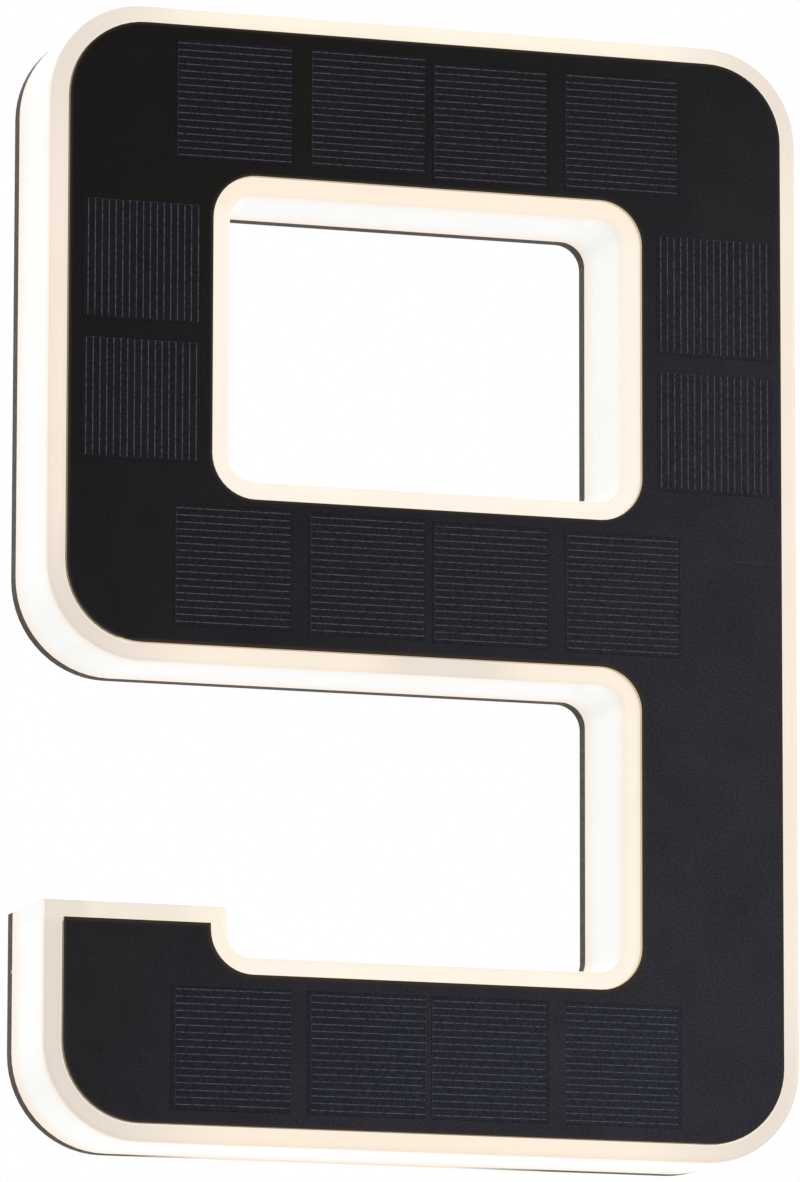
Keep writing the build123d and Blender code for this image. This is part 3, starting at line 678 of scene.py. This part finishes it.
def printCells():
    look = printLook
    paste = makePaste()
    grid = makeBar("printGrid", look["length"], look["width"], look["height"])
    span = (look["lines"] - 1) * look["pitch"] * mm
    grid.data.transform(Matrix.Translation((0, 0, -span / 2)))
    rows = grid.modifiers.new("rows", "ARRAY")
    rows.count = look["lines"]
    rows.use_relative_offset = False
    rows.use_constant_offset = True
    rows.constant_offset_displace = (0, 0, look["pitch"] * mm)
    applyModifiers(grid)
    end = makeBar("printEnd", look["endWidth"], span / mm + look["width"], look["endHeight"])
    end.data.transform(Matrix.Translation((-look["length"] / 2 * mm, 0, 0)))
    pick(grid)
    end.select_set(True)
    bpy.ops.object.join()
    grid.data.materials.append(paste)

    for i, cell in enumerate(cellNames):
        low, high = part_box(cell)
        shiftX, shiftZ = look["shifts"][i]
        middle = Vector(((low.x + high.x) / 2 + shiftX * mm, low.y, (low.z + high.z) / 2 + shiftZ * mm))
        turn = Matrix.Rotation(math.radians(90 if i + 1 in look["uprightCells"] else 0), 4, "Y")
        lines = copyOf(grid, f"cellPrint_{i + 1:02d}", Matrix.Translation(middle) @ turn)
        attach(lines, "housing")
    discard(grid)


printCells()
print("cells printed")


# dark back housing and battery cover

housingLook = {
    "plastic": (70, 67, 63),
    "speck": (92, 88, 82), "speckSize": 0.8, "speckLevel": 0.8,  # paler pigment in it
    "sparkSize": 0.6, "sparkDepth": 0.05,  # mm, the moulded grain
    "pits": (0.8, 1.16),  # how dark and how pale the grain gets
    "cloudSize": 18, "clouds": (0.84, 1.12),
    "rim": (68, 57, 44),  # the outer edge, browner: painted warm light from the shell's glow
    "rubbedAndHighlight": (108, 104, 98), "rubbedAndHighlightLevel": 0.7,  # bare edges, where screw heads slide, and the painted highlight on the chamfers
    "rubbedBand": (0.7, 0.1), "rubbedDepths": (0.6, 0.2), "wearSize": 4,
    "hairSize": 0.35, "hairLevel": 0.35,  # long fine scratches
    "roughness": (0.48, 0.68), "roughSize": 1.1,
    "specular": 0.4,
    "smoothBand": 2.2,  # mm, the border left without grain
    "smoothSpots": ((55.1, 86, 3.8), (52.7, 0, 3.8)),  # and round the screws: x, z, radius
    "keyholeBand": 6.2,  # and round the keyholes
    "smoothEdge": 0.1, "smoothTint": 0.8, "smoothGrain": 0.12, "polish": 0.22, "rubbedPolish": 0.2,
    "keyholeX": 35, "keyholeZ": (80.1, 87.1),
    "scuffBand": (6, 2.5), "scuffLevel": 0.7,
    "coverCorner": 2.5,
}

leakLook = {  # light between plate and shell
    "colour": (255, 240, 222), "level": 0.8,
    "start": (-48, -34), "end": (30, 12),  # mm along the foot, fading in and out
    "below": -99.5,
    "dotHeight": -68.9, "dotBand": (0.3, 0.2),  # one point of it on the hook's side
    "dotLeft": -69, "dotDepth": 2.6, "dotLevel": 0.6,
}


def mouldedPlastic(tree, spot, normalY):
    look = housingLook
    speck = ranged(tree, speckle(tree, spot, look["speckSize"] * mm), 0.0, 0.3, 1.0, 0.0)
    speck = times(tree, speck, ranged(tree, grain(tree, spot, 3 * mm), 0.35, 0.6))
    speck = times(tree, speck, look["speckLevel"])
    colour = mixed(tree, speck, look["plastic"], look["speck"])
    pits = grain(tree, spot, look["sparkSize"] * mm, 3, 0.65)
    colour = tinted(tree, colour, ranged(tree, pits, 0.38, 0.62, *look["pits"]))
    clouds = grain(tree, spot, look["cloudSize"] * mm, 4)
    colour = tinted(tree, colour, ranged(tree, clouds, 0.34, 0.66, *look["clouds"]))
    # painted light: the side faces browner, standing for the shell's warm glow on them
    onRim = isBelow(tree, unsigned(tree, normalY), 0.6)
    return mixed(tree, onRim, colour, look["rim"])


def keyholeDistance(tree, x, z):
    # from the middle line of the nearer keyhole's slot
    low, high = housingLook["keyholeZ"]
    side = minus(tree, unsigned(tree, x), housingLook["keyholeX"] * mm)
    along = minus(tree, z, smaller(tree, larger(tree, z, low * mm), high * mm))
    return squareRoot(tree, plus(tree, times(tree, side, side), times(tree, along, along)))


def within(tree, distance, reach):
    return band(tree, distance, (reach + housingLook["smoothEdge"], reach))


def addLeak(tree, shader, x, z, depth, normalZ):
    look = leakLook
    foot = times(tree, isBelow(tree, normalZ, -0.9), isBelow(tree, z, look["below"] * mm))
    foot = times(tree, foot, band(tree, x, look["start"]))
    foot = times(tree, foot, band(tree, x, look["end"]))
    dot = band(tree, unsigned(tree, minus(tree, z, look["dotHeight"] * mm)), look["dotBand"])
    dot = times(tree, dot, isBelow(tree, x, look["dotLeft"] * mm))
    dot = times(tree, dot, isAbove(tree, depth, look["dotDepth"]))
    leak = larger(tree, foot, times(tree, dot, look["dotLevel"]))
    feed(tree, shader.inputs["Emission Color"], mixed(tree, leak, black, look["colour"]))
    shader.inputs["Emission Strength"].default_value = look["level"]


def makeHousing(name, box=None):
    # the box is the battery cover's, whose edges are its own
    look = housingLook
    material, tree, shader = startMaterial(name)
    spot = placeOf(tree)
    x, _, z = parts(tree, spot)
    depth = depthFromWall(tree)
    _, normalY, normalZ = facing(tree)
    colour = mouldedPlastic(tree, spot, normalY)

    # rubbed edges, worn unevenly, and painted highlights on the chamfers
    if box:
        low, high = box
        out = boxDistance(tree, spot, low.x, high.x, low.z, high.z, look["coverCorner"] * mm)
        edge = times(tree, out, -1.0)
    else:
        edge = smaller(tree, *edgeDistances(tree))
    worn = ranged(tree, grain(tree, spot, look["wearSize"] * mm, 5, 0.7), 0.42, 0.62)
    bareAndHighlight = times(tree, band(tree, edge, look["rubbedBand"]), ranged(tree, depth, *look["rubbedDepths"]))
    bareAndHighlight = times(tree, bareAndHighlight, worn)
    smooth = within(tree, edge, look["smoothBand"])
    if not box:
        away = keyholeDistance(tree, x, z)
        smooth = larger(tree, smooth, within(tree, away, look["keyholeBand"]))
        mirrored = vectorOf(tree, "MULTIPLY", vectorOf(tree, "ABSOLUTE", spot), (1, 0, 1))
        for spotX, spotZ, radius in look["smoothSpots"]:
            near = vectorOf(tree, "DISTANCE", mirrored, (spotX * mm, 0, spotZ * mm))
            smooth = larger(tree, smooth, within(tree, near, radius))
        scuff = band(tree, away, look["scuffBand"], 0.0, look["scuffLevel"], "SMOOTHSTEP")
        streak = ranged(tree, grain(tree, stretched(tree, (1, 1, 0.2)), 0.4 * mm, 3), 0.52, 0.66)
        bareAndHighlight = larger(tree, bareAndHighlight, times(tree, scuff, streak))
    colour = tinted(tree, colour, mixed(tree, smooth, white, grey(look["smoothTint"])))
    # painted highlight: the chamfers lightened as if they catch the light
    chamferHighlight = times(tree, ranged(tree, normalY, 0.9, 0.8), ranged(tree, normalY, 0.5, 0.6))
    bareAndHighlight = larger(tree, bareAndHighlight, times(tree, chamferHighlight, ranged(tree, worn, 0.0, 1.0, 0.3, 1.0)))
    colour = mixed(tree, times(tree, bareAndHighlight, look["rubbedAndHighlightLevel"]), colour, look["rubbedAndHighlight"])
    hair = ranged(tree, grain(tree, stretched(tree, (1, 1, 0.05)), look["hairSize"] * mm, 2), 0.66, 0.72)
    hair = times(tree, hair, ranged(tree, grain(tree, spot, 16 * mm), 0.5, 0.62, 0.0, look["hairLevel"]))
    colour = mixed(tree, hair, colour, look["rubbedAndHighlight"])

    feed(tree, shader.inputs["Base Color"], colour)
    rough = mottled(tree, spot, look["roughSize"] * mm, *look["roughness"], 3)
    polished = times(tree, smooth, ranged(tree, normalY, 0.3, 0.7, 0.0, look["polish"]))
    polished = larger(tree, times(tree, bareAndHighlight, look["rubbedPolish"]), polished)
    feed(tree, shader.inputs["Roughness"], minus(tree, rough, polished))
    shader.inputs["Specular IOR Level"].default_value = look["specular"]
    if not box:
        addLeak(tree, shader, x, z, depth, normalZ)
    spark = grain(tree, spot, look["sparkSize"] * mm, 3, 0.65)
    spark = times(tree, spark, ranged(tree, smooth, 0.0, 1.0, 1.0, look["smoothGrain"]))
    relief(tree, shader, spark, look["sparkDepth"] * mm, 0.8)
    return material


dress(makeHousing("housingPlastic"), "back_housing")
dress(makeHousing("coverPlastic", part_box("battery_cover")), "battery_cover")
print("back housing grained")


# rubber: gaskets, grommet, seal, button

rubberLook = {
    "softRubber": ((46, 45, 44), 0.72, 0.35),  # screen colour, roughness, mm of grain
    "buttonRubber": ((44, 43, 43), 0.55, 0.22),
    "wornRubber": ((92, 90, 87), 0.45, 0.3),  # the ring that fingers find
    "paleFoam": ((214, 211, 204), 0.85, 0.5),
    "bloom": 34,  # how much paler the bloomed patches are
    "spread": 0.1, "sheen": 0.15, "specular": 0.35,
}


def makeRubber(name):
    tint, rough, size = rubberLook[name]
    material, tree, shader = startMaterial(name)
    spot = placeOf(tree)
    bloom = ranged(tree, grain(tree, spot, 3.5 * mm, 4), 0.45, 0.7, 0.0, 0.3)
    pale = [c + rubberLook["bloom"] for c in tint]
    feed(tree, shader.inputs["Base Color"], mixed(tree, bloom, tint, pale))
    spread = rubberLook["spread"]
    roughen(tree, shader, spot, 1.2 * mm, rough - spread, rough + spread)
    shader.inputs["Sheen Weight"].default_value = rubberLook["sheen"]
    shader.inputs["Specular IOR Level"].default_value = rubberLook["specular"]
    relief(tree, shader, grain(tree, spot, size * mm, 3, 0.6), 0.03 * mm, 0.8)
    return material


dress(makeRubber("softRubber"),
      "outer_gasket", "window_gasket", "cover_gasket", "lead_grommet", "button_seal")
dress(makeRubber("buttonRubber"), "power_button")
dress(makeRubber("paleFoam"), "panel_tape")


# metals

metalLook = {
    "zinc": ((196, 196, 190), 0.32, (140, 138, 128)),  # screen colour, roughness, dull patches
    "nickel": ((214, 208, 196), 0.24, (168, 160, 146)),
    "recessShade": (62, 58, 52), "recessShadeDepths": (0.14, 0.5),  # painted shade in the screw's recess; depths in mm below the back face
    "stainSize": 1.6, "stainRoughness": 0.18,
}


def makeMetal(name):
    tint, rough, dull = metalLook[name]
    material, tree, shader = startMaterial(name + "Plate")
    spot = placeOf(tree)
    stain = ranged(tree, grain(tree, spot, metalLook["stainSize"] * mm, 5, 0.65), 0.45, 0.68)
    colour = mixed(tree, stain, tint, dull)
    if name == "zinc":
        # painted shade: darker down in the recess
        recessShade = ranged(tree, depthFromWall(tree), *metalLook["recessShadeDepths"])
        colour = mixed(tree, recessShade, colour, metalLook["recessShade"])
    feed(tree, shader.inputs["Base Color"], colour)
    shader.inputs["Metallic"].default_value = 1.0
    lines = grain(tree, stretched(tree, (1, 1, 0.15)), 0.12 * mm, 2)
    brushed = ranged(tree, lines, noiseLow, noiseHigh, rough - 0.08, rough + 0.1)
    stained = times(tree, stain, metalLook["stainRoughness"])
    feed(tree, shader.inputs["Roughness"], plus(tree, brushed, stained))
    relief(tree, shader, lines, 0.006 * mm, 0.6)
    return material


zinc = makeMetal("zinc")
dress(zinc, "housing_screws", "cover_screw")
dress(makeMetal("nickel"), "positive_contact", "negative_contact", "board_screws")
print("rubber and metal done")


# boards and what they carry

boardLook = {
    "whiteMask": ((228, 228, 222), (206, 207, 200), (150, 128, 84)),  # mask, tracks under it, cut edge
    "greenMask": ((22, 92, 52), (34, 118, 66), (158, 138, 92)),
    "trackPitch": 2.4, "trackWidth": 0.5, "trackFade": 0.06,  # mm
    "patchSize": 16, "viaSize": 5, "via": (176, 150, 96),
    "roughness": (0.28, 0.42),
}


def tracksAlong(tree, coordinate):
    look = boardLook
    pitch, half = look["trackPitch"] * mm, look["trackWidth"] * mm / 2
    step = remainder(tree, plus(tree, coordinate, farOut), pitch)
    off = unsigned(tree, minus(tree, step, pitch / 2))
    return ranged(tree, off, half, half - look["trackFade"] * mm)


def makeBoard(name):
    look = boardLook
    mask, track, edge = look[name]
    material, tree, shader = startMaterial(name)
    spot = placeOf(tree)
    x, _, z = parts(tree, spot)
    # tracks run along z in some patches and along x in others
    where = ranged(tree, speckle(tree, spot, look["patchSize"] * mm), 0.48, 0.5)
    upright = times(tree, tracksAlong(tree, x), where)
    level = times(tree, tracksAlong(tree, z), minus(tree, 1.0, where))
    tracks = plus(tree, upright, level)
    colour = mixed(tree, tracks, mask, track)
    vias = ranged(tree, speckle(tree, spot, look["viaSize"] * mm), 0.07, 0.055)
    colour = mixed(tree, vias, colour, look["via"])
    weave = mottled(tree, stretched(tree, (0.2, 1, 1)), 0.3 * mm, 0.85, 1.1)
    onEdge = isBelow(tree, unsigned(tree, facing(tree)[1]), 0.5)
    colour = mixed(tree, onEdge, colour, tinted(tree, edge, weave))
    feed(tree, shader.inputs["Base Color"], colour)
    roughen(tree, shader, spot, 2 * mm, *look["roughness"], 3)
    relief(tree, shader, tracks, 0.03 * mm, 0.7)
    return material


dress(makeBoard("whiteMask"), "led_ring_board", "led_foot_board")
dress(makeBoard("greenMask"), "control_board")


lampLook = {
    "case": (236, 234, 226), "phosphor": (255, 214, 96), "light": (255, 240, 208),
    "pitch": 17, "lensBand": (1.2, 1.1), "glow": 0.9,
    "columnReach": 3, "barReach": 5,  # mm either side of the strokes' middle lines
    "roughness": (0.25, 0.4),
}


def offStep(tree, distance):
    # from the nearest half step
    pitch = lampLook["pitch"] * mm
    enough = 6 * pitch  # keeps the distance above zero
    return minus(tree, remainder(tree, plus(tree, distance, enough), pitch), pitch / 2)


def makeLampChips():
    # the chips are on the strokes' middle lines, at half steps from the window's middle
    look = lampLook
    material, tree, shader = startMaterial("lampChip")
    spot = placeOf(tree)
    x, y, z = parts(tree, spot)
    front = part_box("led_chips")[0].y
    columnX = minus(tree, unsigned(tree, x), halfWidth - stroke / 2)
    onColumn = isBelow(tree, unsigned(tree, columnX), look["columnReach"] * mm)
    offX = mixed(tree, onColumn, offStep(tree, x), columnX)
    barZ = halfHeight - stroke / 2
    onBar = minus(tree, unsigned(tree, z), barZ)
    nearBar = barZ - look["barReach"] * mm
    offZ = mixed(tree, isAbove(tree, z, nearBar), z, onBar)
    offZ = mixed(tree, isBelow(tree, z, -nearBar), offZ, onBar)
    offZ = mixed(tree, onColumn, offZ, offStep(tree, minus(tree, z, (barEdge + windowTop) / 2)))
    away = squareRoot(tree, plus(tree, times(tree, offX, offX), times(tree, offZ, offZ)))
    lens = band(tree, away, look["lensBand"])
    lens = times(tree, lens, isBelow(tree, y, front + 0.02 * mm))
    feed(tree, shader.inputs["Base Color"], mixed(tree, lens, look["case"], look["phosphor"]))
    feed(tree, shader.inputs["Emission Color"], mixed(tree, lens, black, look["light"]))
    shader.inputs["Emission Strength"].default_value = look["glow"]
    roughen(tree, shader, spot, 0.4 * mm, *look["roughness"])
    relief(tree, shader, lens, -0.1 * mm, 0.6)
    return material


dress(makeLampChips(), "led_chips")


mouldedLook = {  # node, colour, roughness, a second colour, how it is laid on
    "header": ("board_link_header", (30, 30, 31), 0.45, (196, 176, 120), "pins"),
    "blackEpoxy": ("controller_ic", (28, 28, 29), 0.5, (178, 178, 172), "pins"),
    "ferrite": ("charge_coil", (52, 48, 46), 0.6, (176, 98, 52), "core"),
    "tantalum": ("storage_capacitor", (196, 142, 52), 0.38, (96, 62, 22), "band"),
    "switchCase": ("switch_body", (34, 34, 36), 0.35, (70, 70, 72), "speck"),
    "switchPlunger": ("switch_plunger", (222, 220, 214), 0.4, (190, 188, 180), "speck"),
}
mouldedSizes = {"pinHeight": 0.32, "coreFoot": 0.42, "wire": 0.3, "band": 1.3}  # mm


def makeMoulded(name):
    nodeName, tint, rough, second, laid = mouldedLook[name]
    material, tree, shader = startMaterial(name)
    spot = placeOf(tree)
    x, y, _ = parts(tree, spot)
    low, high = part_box(nodeName)
    size = mouldedSizes
    if laid == "pins":  # metal where it meets the board's face
        mask = isAbove(tree, y, high.y - size["pinHeight"] * mm)
    elif laid == "core":  # windings round the middle, a plain foot and top
        onSide = isBelow(tree, unsigned(tree, facing(tree)[1]), 0.5)
        mask = times(tree, onSide, isBelow(tree, y, high.y - size["coreFoot"] * mm))
    elif laid == "band":  # polarity band at one end
        mask = isBelow(tree, x, low.x + size["band"] * mm)
    else:
        mask = ranged(tree, grain(tree, spot, 0.5 * mm, 3), 0.5, 0.7)
    shade = mottled(tree, spot, 1.5 * mm, 0.85, 1.1, 4)
    colour = tinted(tree, mixed(tree, mask, tint, second), shade)
    feed(tree, shader.inputs["Base Color"], colour)
    roughen(tree, shader, spot, 0.6 * mm, rough - 0.08, rough + 0.08)
    if laid == "core":
        turns = calculate("SINE", tree, times(tree, y, math.tau / (size["wire"] * mm)))
        relief(tree, shader, turns, 0.05 * mm, 0.7)
    else:
        relief(tree, shader, grain(tree, spot, 0.15 * mm, 2), 0.01 * mm, 0.6)
    return material


for name, values in mouldedLook.items():
    dress(makeMoulded(name), values[0])


# battery and leads

batteryLook = {
    "sleeve": (36, 92, 128), "sleeveDark": (24, 66, 96), "metal": (206, 206, 200),
    "topCap": 1.6, "bottomCap": 0.2, "band": (6.4, 4.8),  # mm from the ends
    "roughness": (0.22, 0.36),
}


def makeBattery():
    look = batteryLook
    material, tree, shader = startMaterial("batterySleeve")
    spot = placeOf(tree)
    z = parts(tree, spot)[2]
    low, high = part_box("battery_cell")
    top, bottom = high.z - look["topCap"] * mm, low.z + look["bottomCap"] * mm
    metal = larger(tree, isAbove(tree, z, top), isBelow(tree, z, bottom))
    bandLow, bandHigh = [high.z - d * mm for d in look["band"]]
    ring = times(tree, isAbove(tree, z, bandLow), isBelow(tree, z, bandHigh))
    shrink = mottled(tree, stretched(tree, (1, 1, 0.2)), 2.2 * mm, 0.0, 1.0, 3)
    colour = mixed(tree, shrink, look["sleeve"], look["sleeveDark"])
    colour = mixed(tree, larger(tree, metal, ring), colour, look["metal"])
    feed(tree, shader.inputs["Base Color"], colour)
    feed(tree, shader.inputs["Metallic"], metal)
    roughen(tree, shader, spot, 1.5 * mm, *look["roughness"], 3)
    relief(tree, shader, shrink, 0.04 * mm, 0.5)
    return material


dress(makeBattery(), "battery_cell")


leadLook = {
    "panel_leads": ((150, 26, 22), (30, 30, 32)),  # one lead, the other
    "link_leads": ((216, 212, 202), (120, 118, 112)),
    "roughness": (0.38, 0.52),
}


def makeLeads(nodeName):
    first, second = leadLook[nodeName]
    material, tree, shader = startMaterial(nodeName.split("_")[0] + "LeadSkin")
    spot = placeOf(tree)
    x = parts(tree, spot)[0]
    low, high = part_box(nodeName)
    side = isAbove(tree, x, (low.x + high.x) / 2)
    shade = mottled(tree, spot, 2 * mm, 0.85, 1.1, 3)
    colour = tinted(tree, mixed(tree, side, first, second), shade)
    feed(tree, shader.inputs["Base Color"], colour)
    roughen(tree, shader, spot, 0.8 * mm, *leadLook["roughness"])
    relief(tree, shader, grain(tree, spot, 0.3 * mm, 2), 0.015 * mm, 0.5)
    return material


for nodeName in ("panel_leads", "link_leads"):
    dress(makeLeads(nodeName), nodeName)
print("boards, battery and leads done")


# cross-recess screws in place of the plain ones

screwLook = {
    "longLength": 12, "shortLength": 7.5,
    "headRadius": 2.4, "rim": 0.12, "headEdge": 0.12,
    "shankRadius": 1.15, "rootRadius": 0.92,
    "threads": 12, "threadShares": (0.35, 0.4, 0.25),  # of a step: inwards, outwards, level
    "tipLength": 1.2, "tipRadius": 0.25,
    "recess": 0.1,  # mm, the head's depth below the back face
    "slotWidth": 0.8, "slotLength": 3.0, "slotDepth": 1.2, "slotTaper": 0.55,
    "turns": (12, 41, 77, 20, 58, 83, 35),  # degrees, each screw stops where it stops
    "reach": 4,  # mm, what counts as one of the plain screws
}


def pickFaces(piece, test):
    # face select mode, with only the faces that pass the test chosen
    bpy.context.tool_settings.mesh_select_mode = (False, False, True)
    for polygon in piece.data.polygons:
        polygon.select = test(polygon)
    for edge in piece.data.edges:
        edge.select = False
    for vertex in piece.data.vertices:
        vertex.select = False


def makeScrew(length):
    # head at y = 0 facing +Y, the shank towards -Y, all given in mm
    look = screwLook
    head, shank, root = look["headRadius"], look["shankRadius"], look["rootRadius"]
    rim, headEdge, tip = look["rim"], look["headEdge"], look["tipLength"]
    deselect()
    bpy.ops.mesh.primitive_circle_add(
        vertices=32, radius=(head - rim) * mm, fill_type="NGON", rotation=(math.radians(90), 0, 0))
    screw = bpy.context.object
    screw.name = "crossScrew"
    settle(screw)
    openMesh()

    def push(depth, radius, was):
        bpy.ops.mesh.extrude_region_move(TRANSFORM_OT_translate={"value": (0, -depth * mm, 0)})
        factor = radius / was
        bpy.ops.transform.resize(value=(factor, 1, factor), center_override=(0, 0, 0))

    push(rim, head, head - rim)
    push(headEdge, head, head)
    push(head - shank, shank, head)
    step = (length - (rim + headEdge + head - shank) - tip) / look["threads"]
    inwards, outwards, level = look["threadShares"]
    for _ in range(look["threads"]):
        push(step * inwards, root, shank)
        push(step * outwards, shank, root)
        push(step * level, shank, shank)
    push(tip, look["tipRadius"], shank)
    closeMesh()

    # the recess: two slots that narrow towards the bottom, cut out together
    slots = []
    for turned in (0, 90):
        deselect()
        bpy.ops.mesh.primitive_cube_add(size=1)
        slot = bpy.context.object
        slot.scale = (look["slotLength"] * mm, 2 * look["slotDepth"] * mm, look["slotWidth"] * mm)
        slot.rotation_euler = (0, math.radians(turned), 0)
        settle(slot)
        pickFaces(slot, lambda polygon: polygon.normal.y < -0.9)
        bpy.ops.object.mode_set(mode="EDIT")
        taper = look["slotTaper"]
        bpy.ops.transform.resize(value=(taper, 1, taper), center_override=(0, 0, 0))
        bpy.ops.object.mode_set(mode="OBJECT")
        slots.append(slot)
    for slot in slots:
        cut = screw.modifiers.new("cut", "BOOLEAN")
        cut.object = slot
        cut.operation = "DIFFERENCE"
        cut.solver = "EXACT"
    applyModifiers(screw)
    for slot in slots:
        discard(slot)
    bpy.ops.object.shade_smooth_by_angle(angle=math.radians(35))
    screw.data.materials.append(zinc)
    return screw


def plainPlaces():
    # the middles of the six plain screws; the middle pair is further in than the corners
    head = screwLook["headRadius"] * mm
    low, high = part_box("housing_screws")
    points = [v.co for v in nodes["housing_screws"].data.vertices]
    places = []
    for side in (-1, 1):
        for z in (low.z + head, 0.0, high.z - head):
            near = [p for p in points if abs(p.z - z) < screwLook["reach"] * mm and p.x * side > 0]
            across, up = [p.x for p in near], [p.z for p in near]
            places.append(((min(across) + max(across)) / 2, (min(up) + max(up)) / 2))
    return places


def turnedIn(screw, number, x, z):
    at = Matrix.Translation((x, -screwLook["recess"] * mm, z))
    turn = Matrix.Rotation(math.radians(screwLook["turns"][number - 1]), 4, "Y")
    return copyOf(screw, f"crossScrew_{number}", at @ turn)


def placeScrews():
    look = screwLook
    places = plainPlaces()
    long = makeScrew(look["longLength"] - look["recess"])
    for number, (x, z) in enumerate(places, 1):
        piece = turnedIn(long, number, x, z)
        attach(piece, "housing")
        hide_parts("housing_screws")
    discard(long)
    low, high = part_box("cover_screw")
    short = makeScrew(look["shortLength"] - look["recess"])
    piece = turnedIn(short, len(places) + 1, (low.x + high.x) / 2, (low.z + high.z) / 2)
    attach(piece, "housing")
    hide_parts("cover_screw")
    discard(short)


placeScrews()
print("screws turned in")


# raised ring on the button

buttonLook = {"ringRadius": 1.75, "ringWidth": 0.4, "ringHeight": 0.22, "softened": 0.07, "sunk": 0.04}


def makeButtonRing():
    look = buttonLook
    low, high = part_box("power_button")
    outside = (look["ringRadius"] + look["ringWidth"] / 2) * mm
    deselect()
    bpy.ops.mesh.primitive_circle_add(
        vertices=48, radius=outside, fill_type="NGON", rotation=(math.radians(-90), 0, 0))
    ring = bpy.context.object
    ring.name = "buttonRing"
    settle(ring)
    openMesh()
    bpy.ops.mesh.inset(thickness=look["ringWidth"] * mm)
    bpy.ops.mesh.delete(type="FACE")
    bpy.ops.mesh.select_all(action="SELECT")
    bpy.ops.mesh.extrude_region_move(TRANSFORM_OT_translate={"value": (0, look["ringHeight"] * mm, 0)})
    closeMesh()
    soften = ring.modifiers.new("soften", "BEVEL")
    soften.width = look["softened"] * mm
    soften.segments = 2
    soften.limit_method = "ANGLE"
    applyModifiers(ring)
    bpy.ops.object.shade_smooth_by_angle(angle=math.radians(50))
    foot = high.y - look["sunk"] * mm
    ring.data.transform(Matrix.Translation(((low.x + high.x) / 2, foot, (low.z + high.z) / 2)))
    ring.data.materials.append(makeRubber("wornRubber"))
    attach(ring, "button")


makeButtonRing()
print("button ring added")
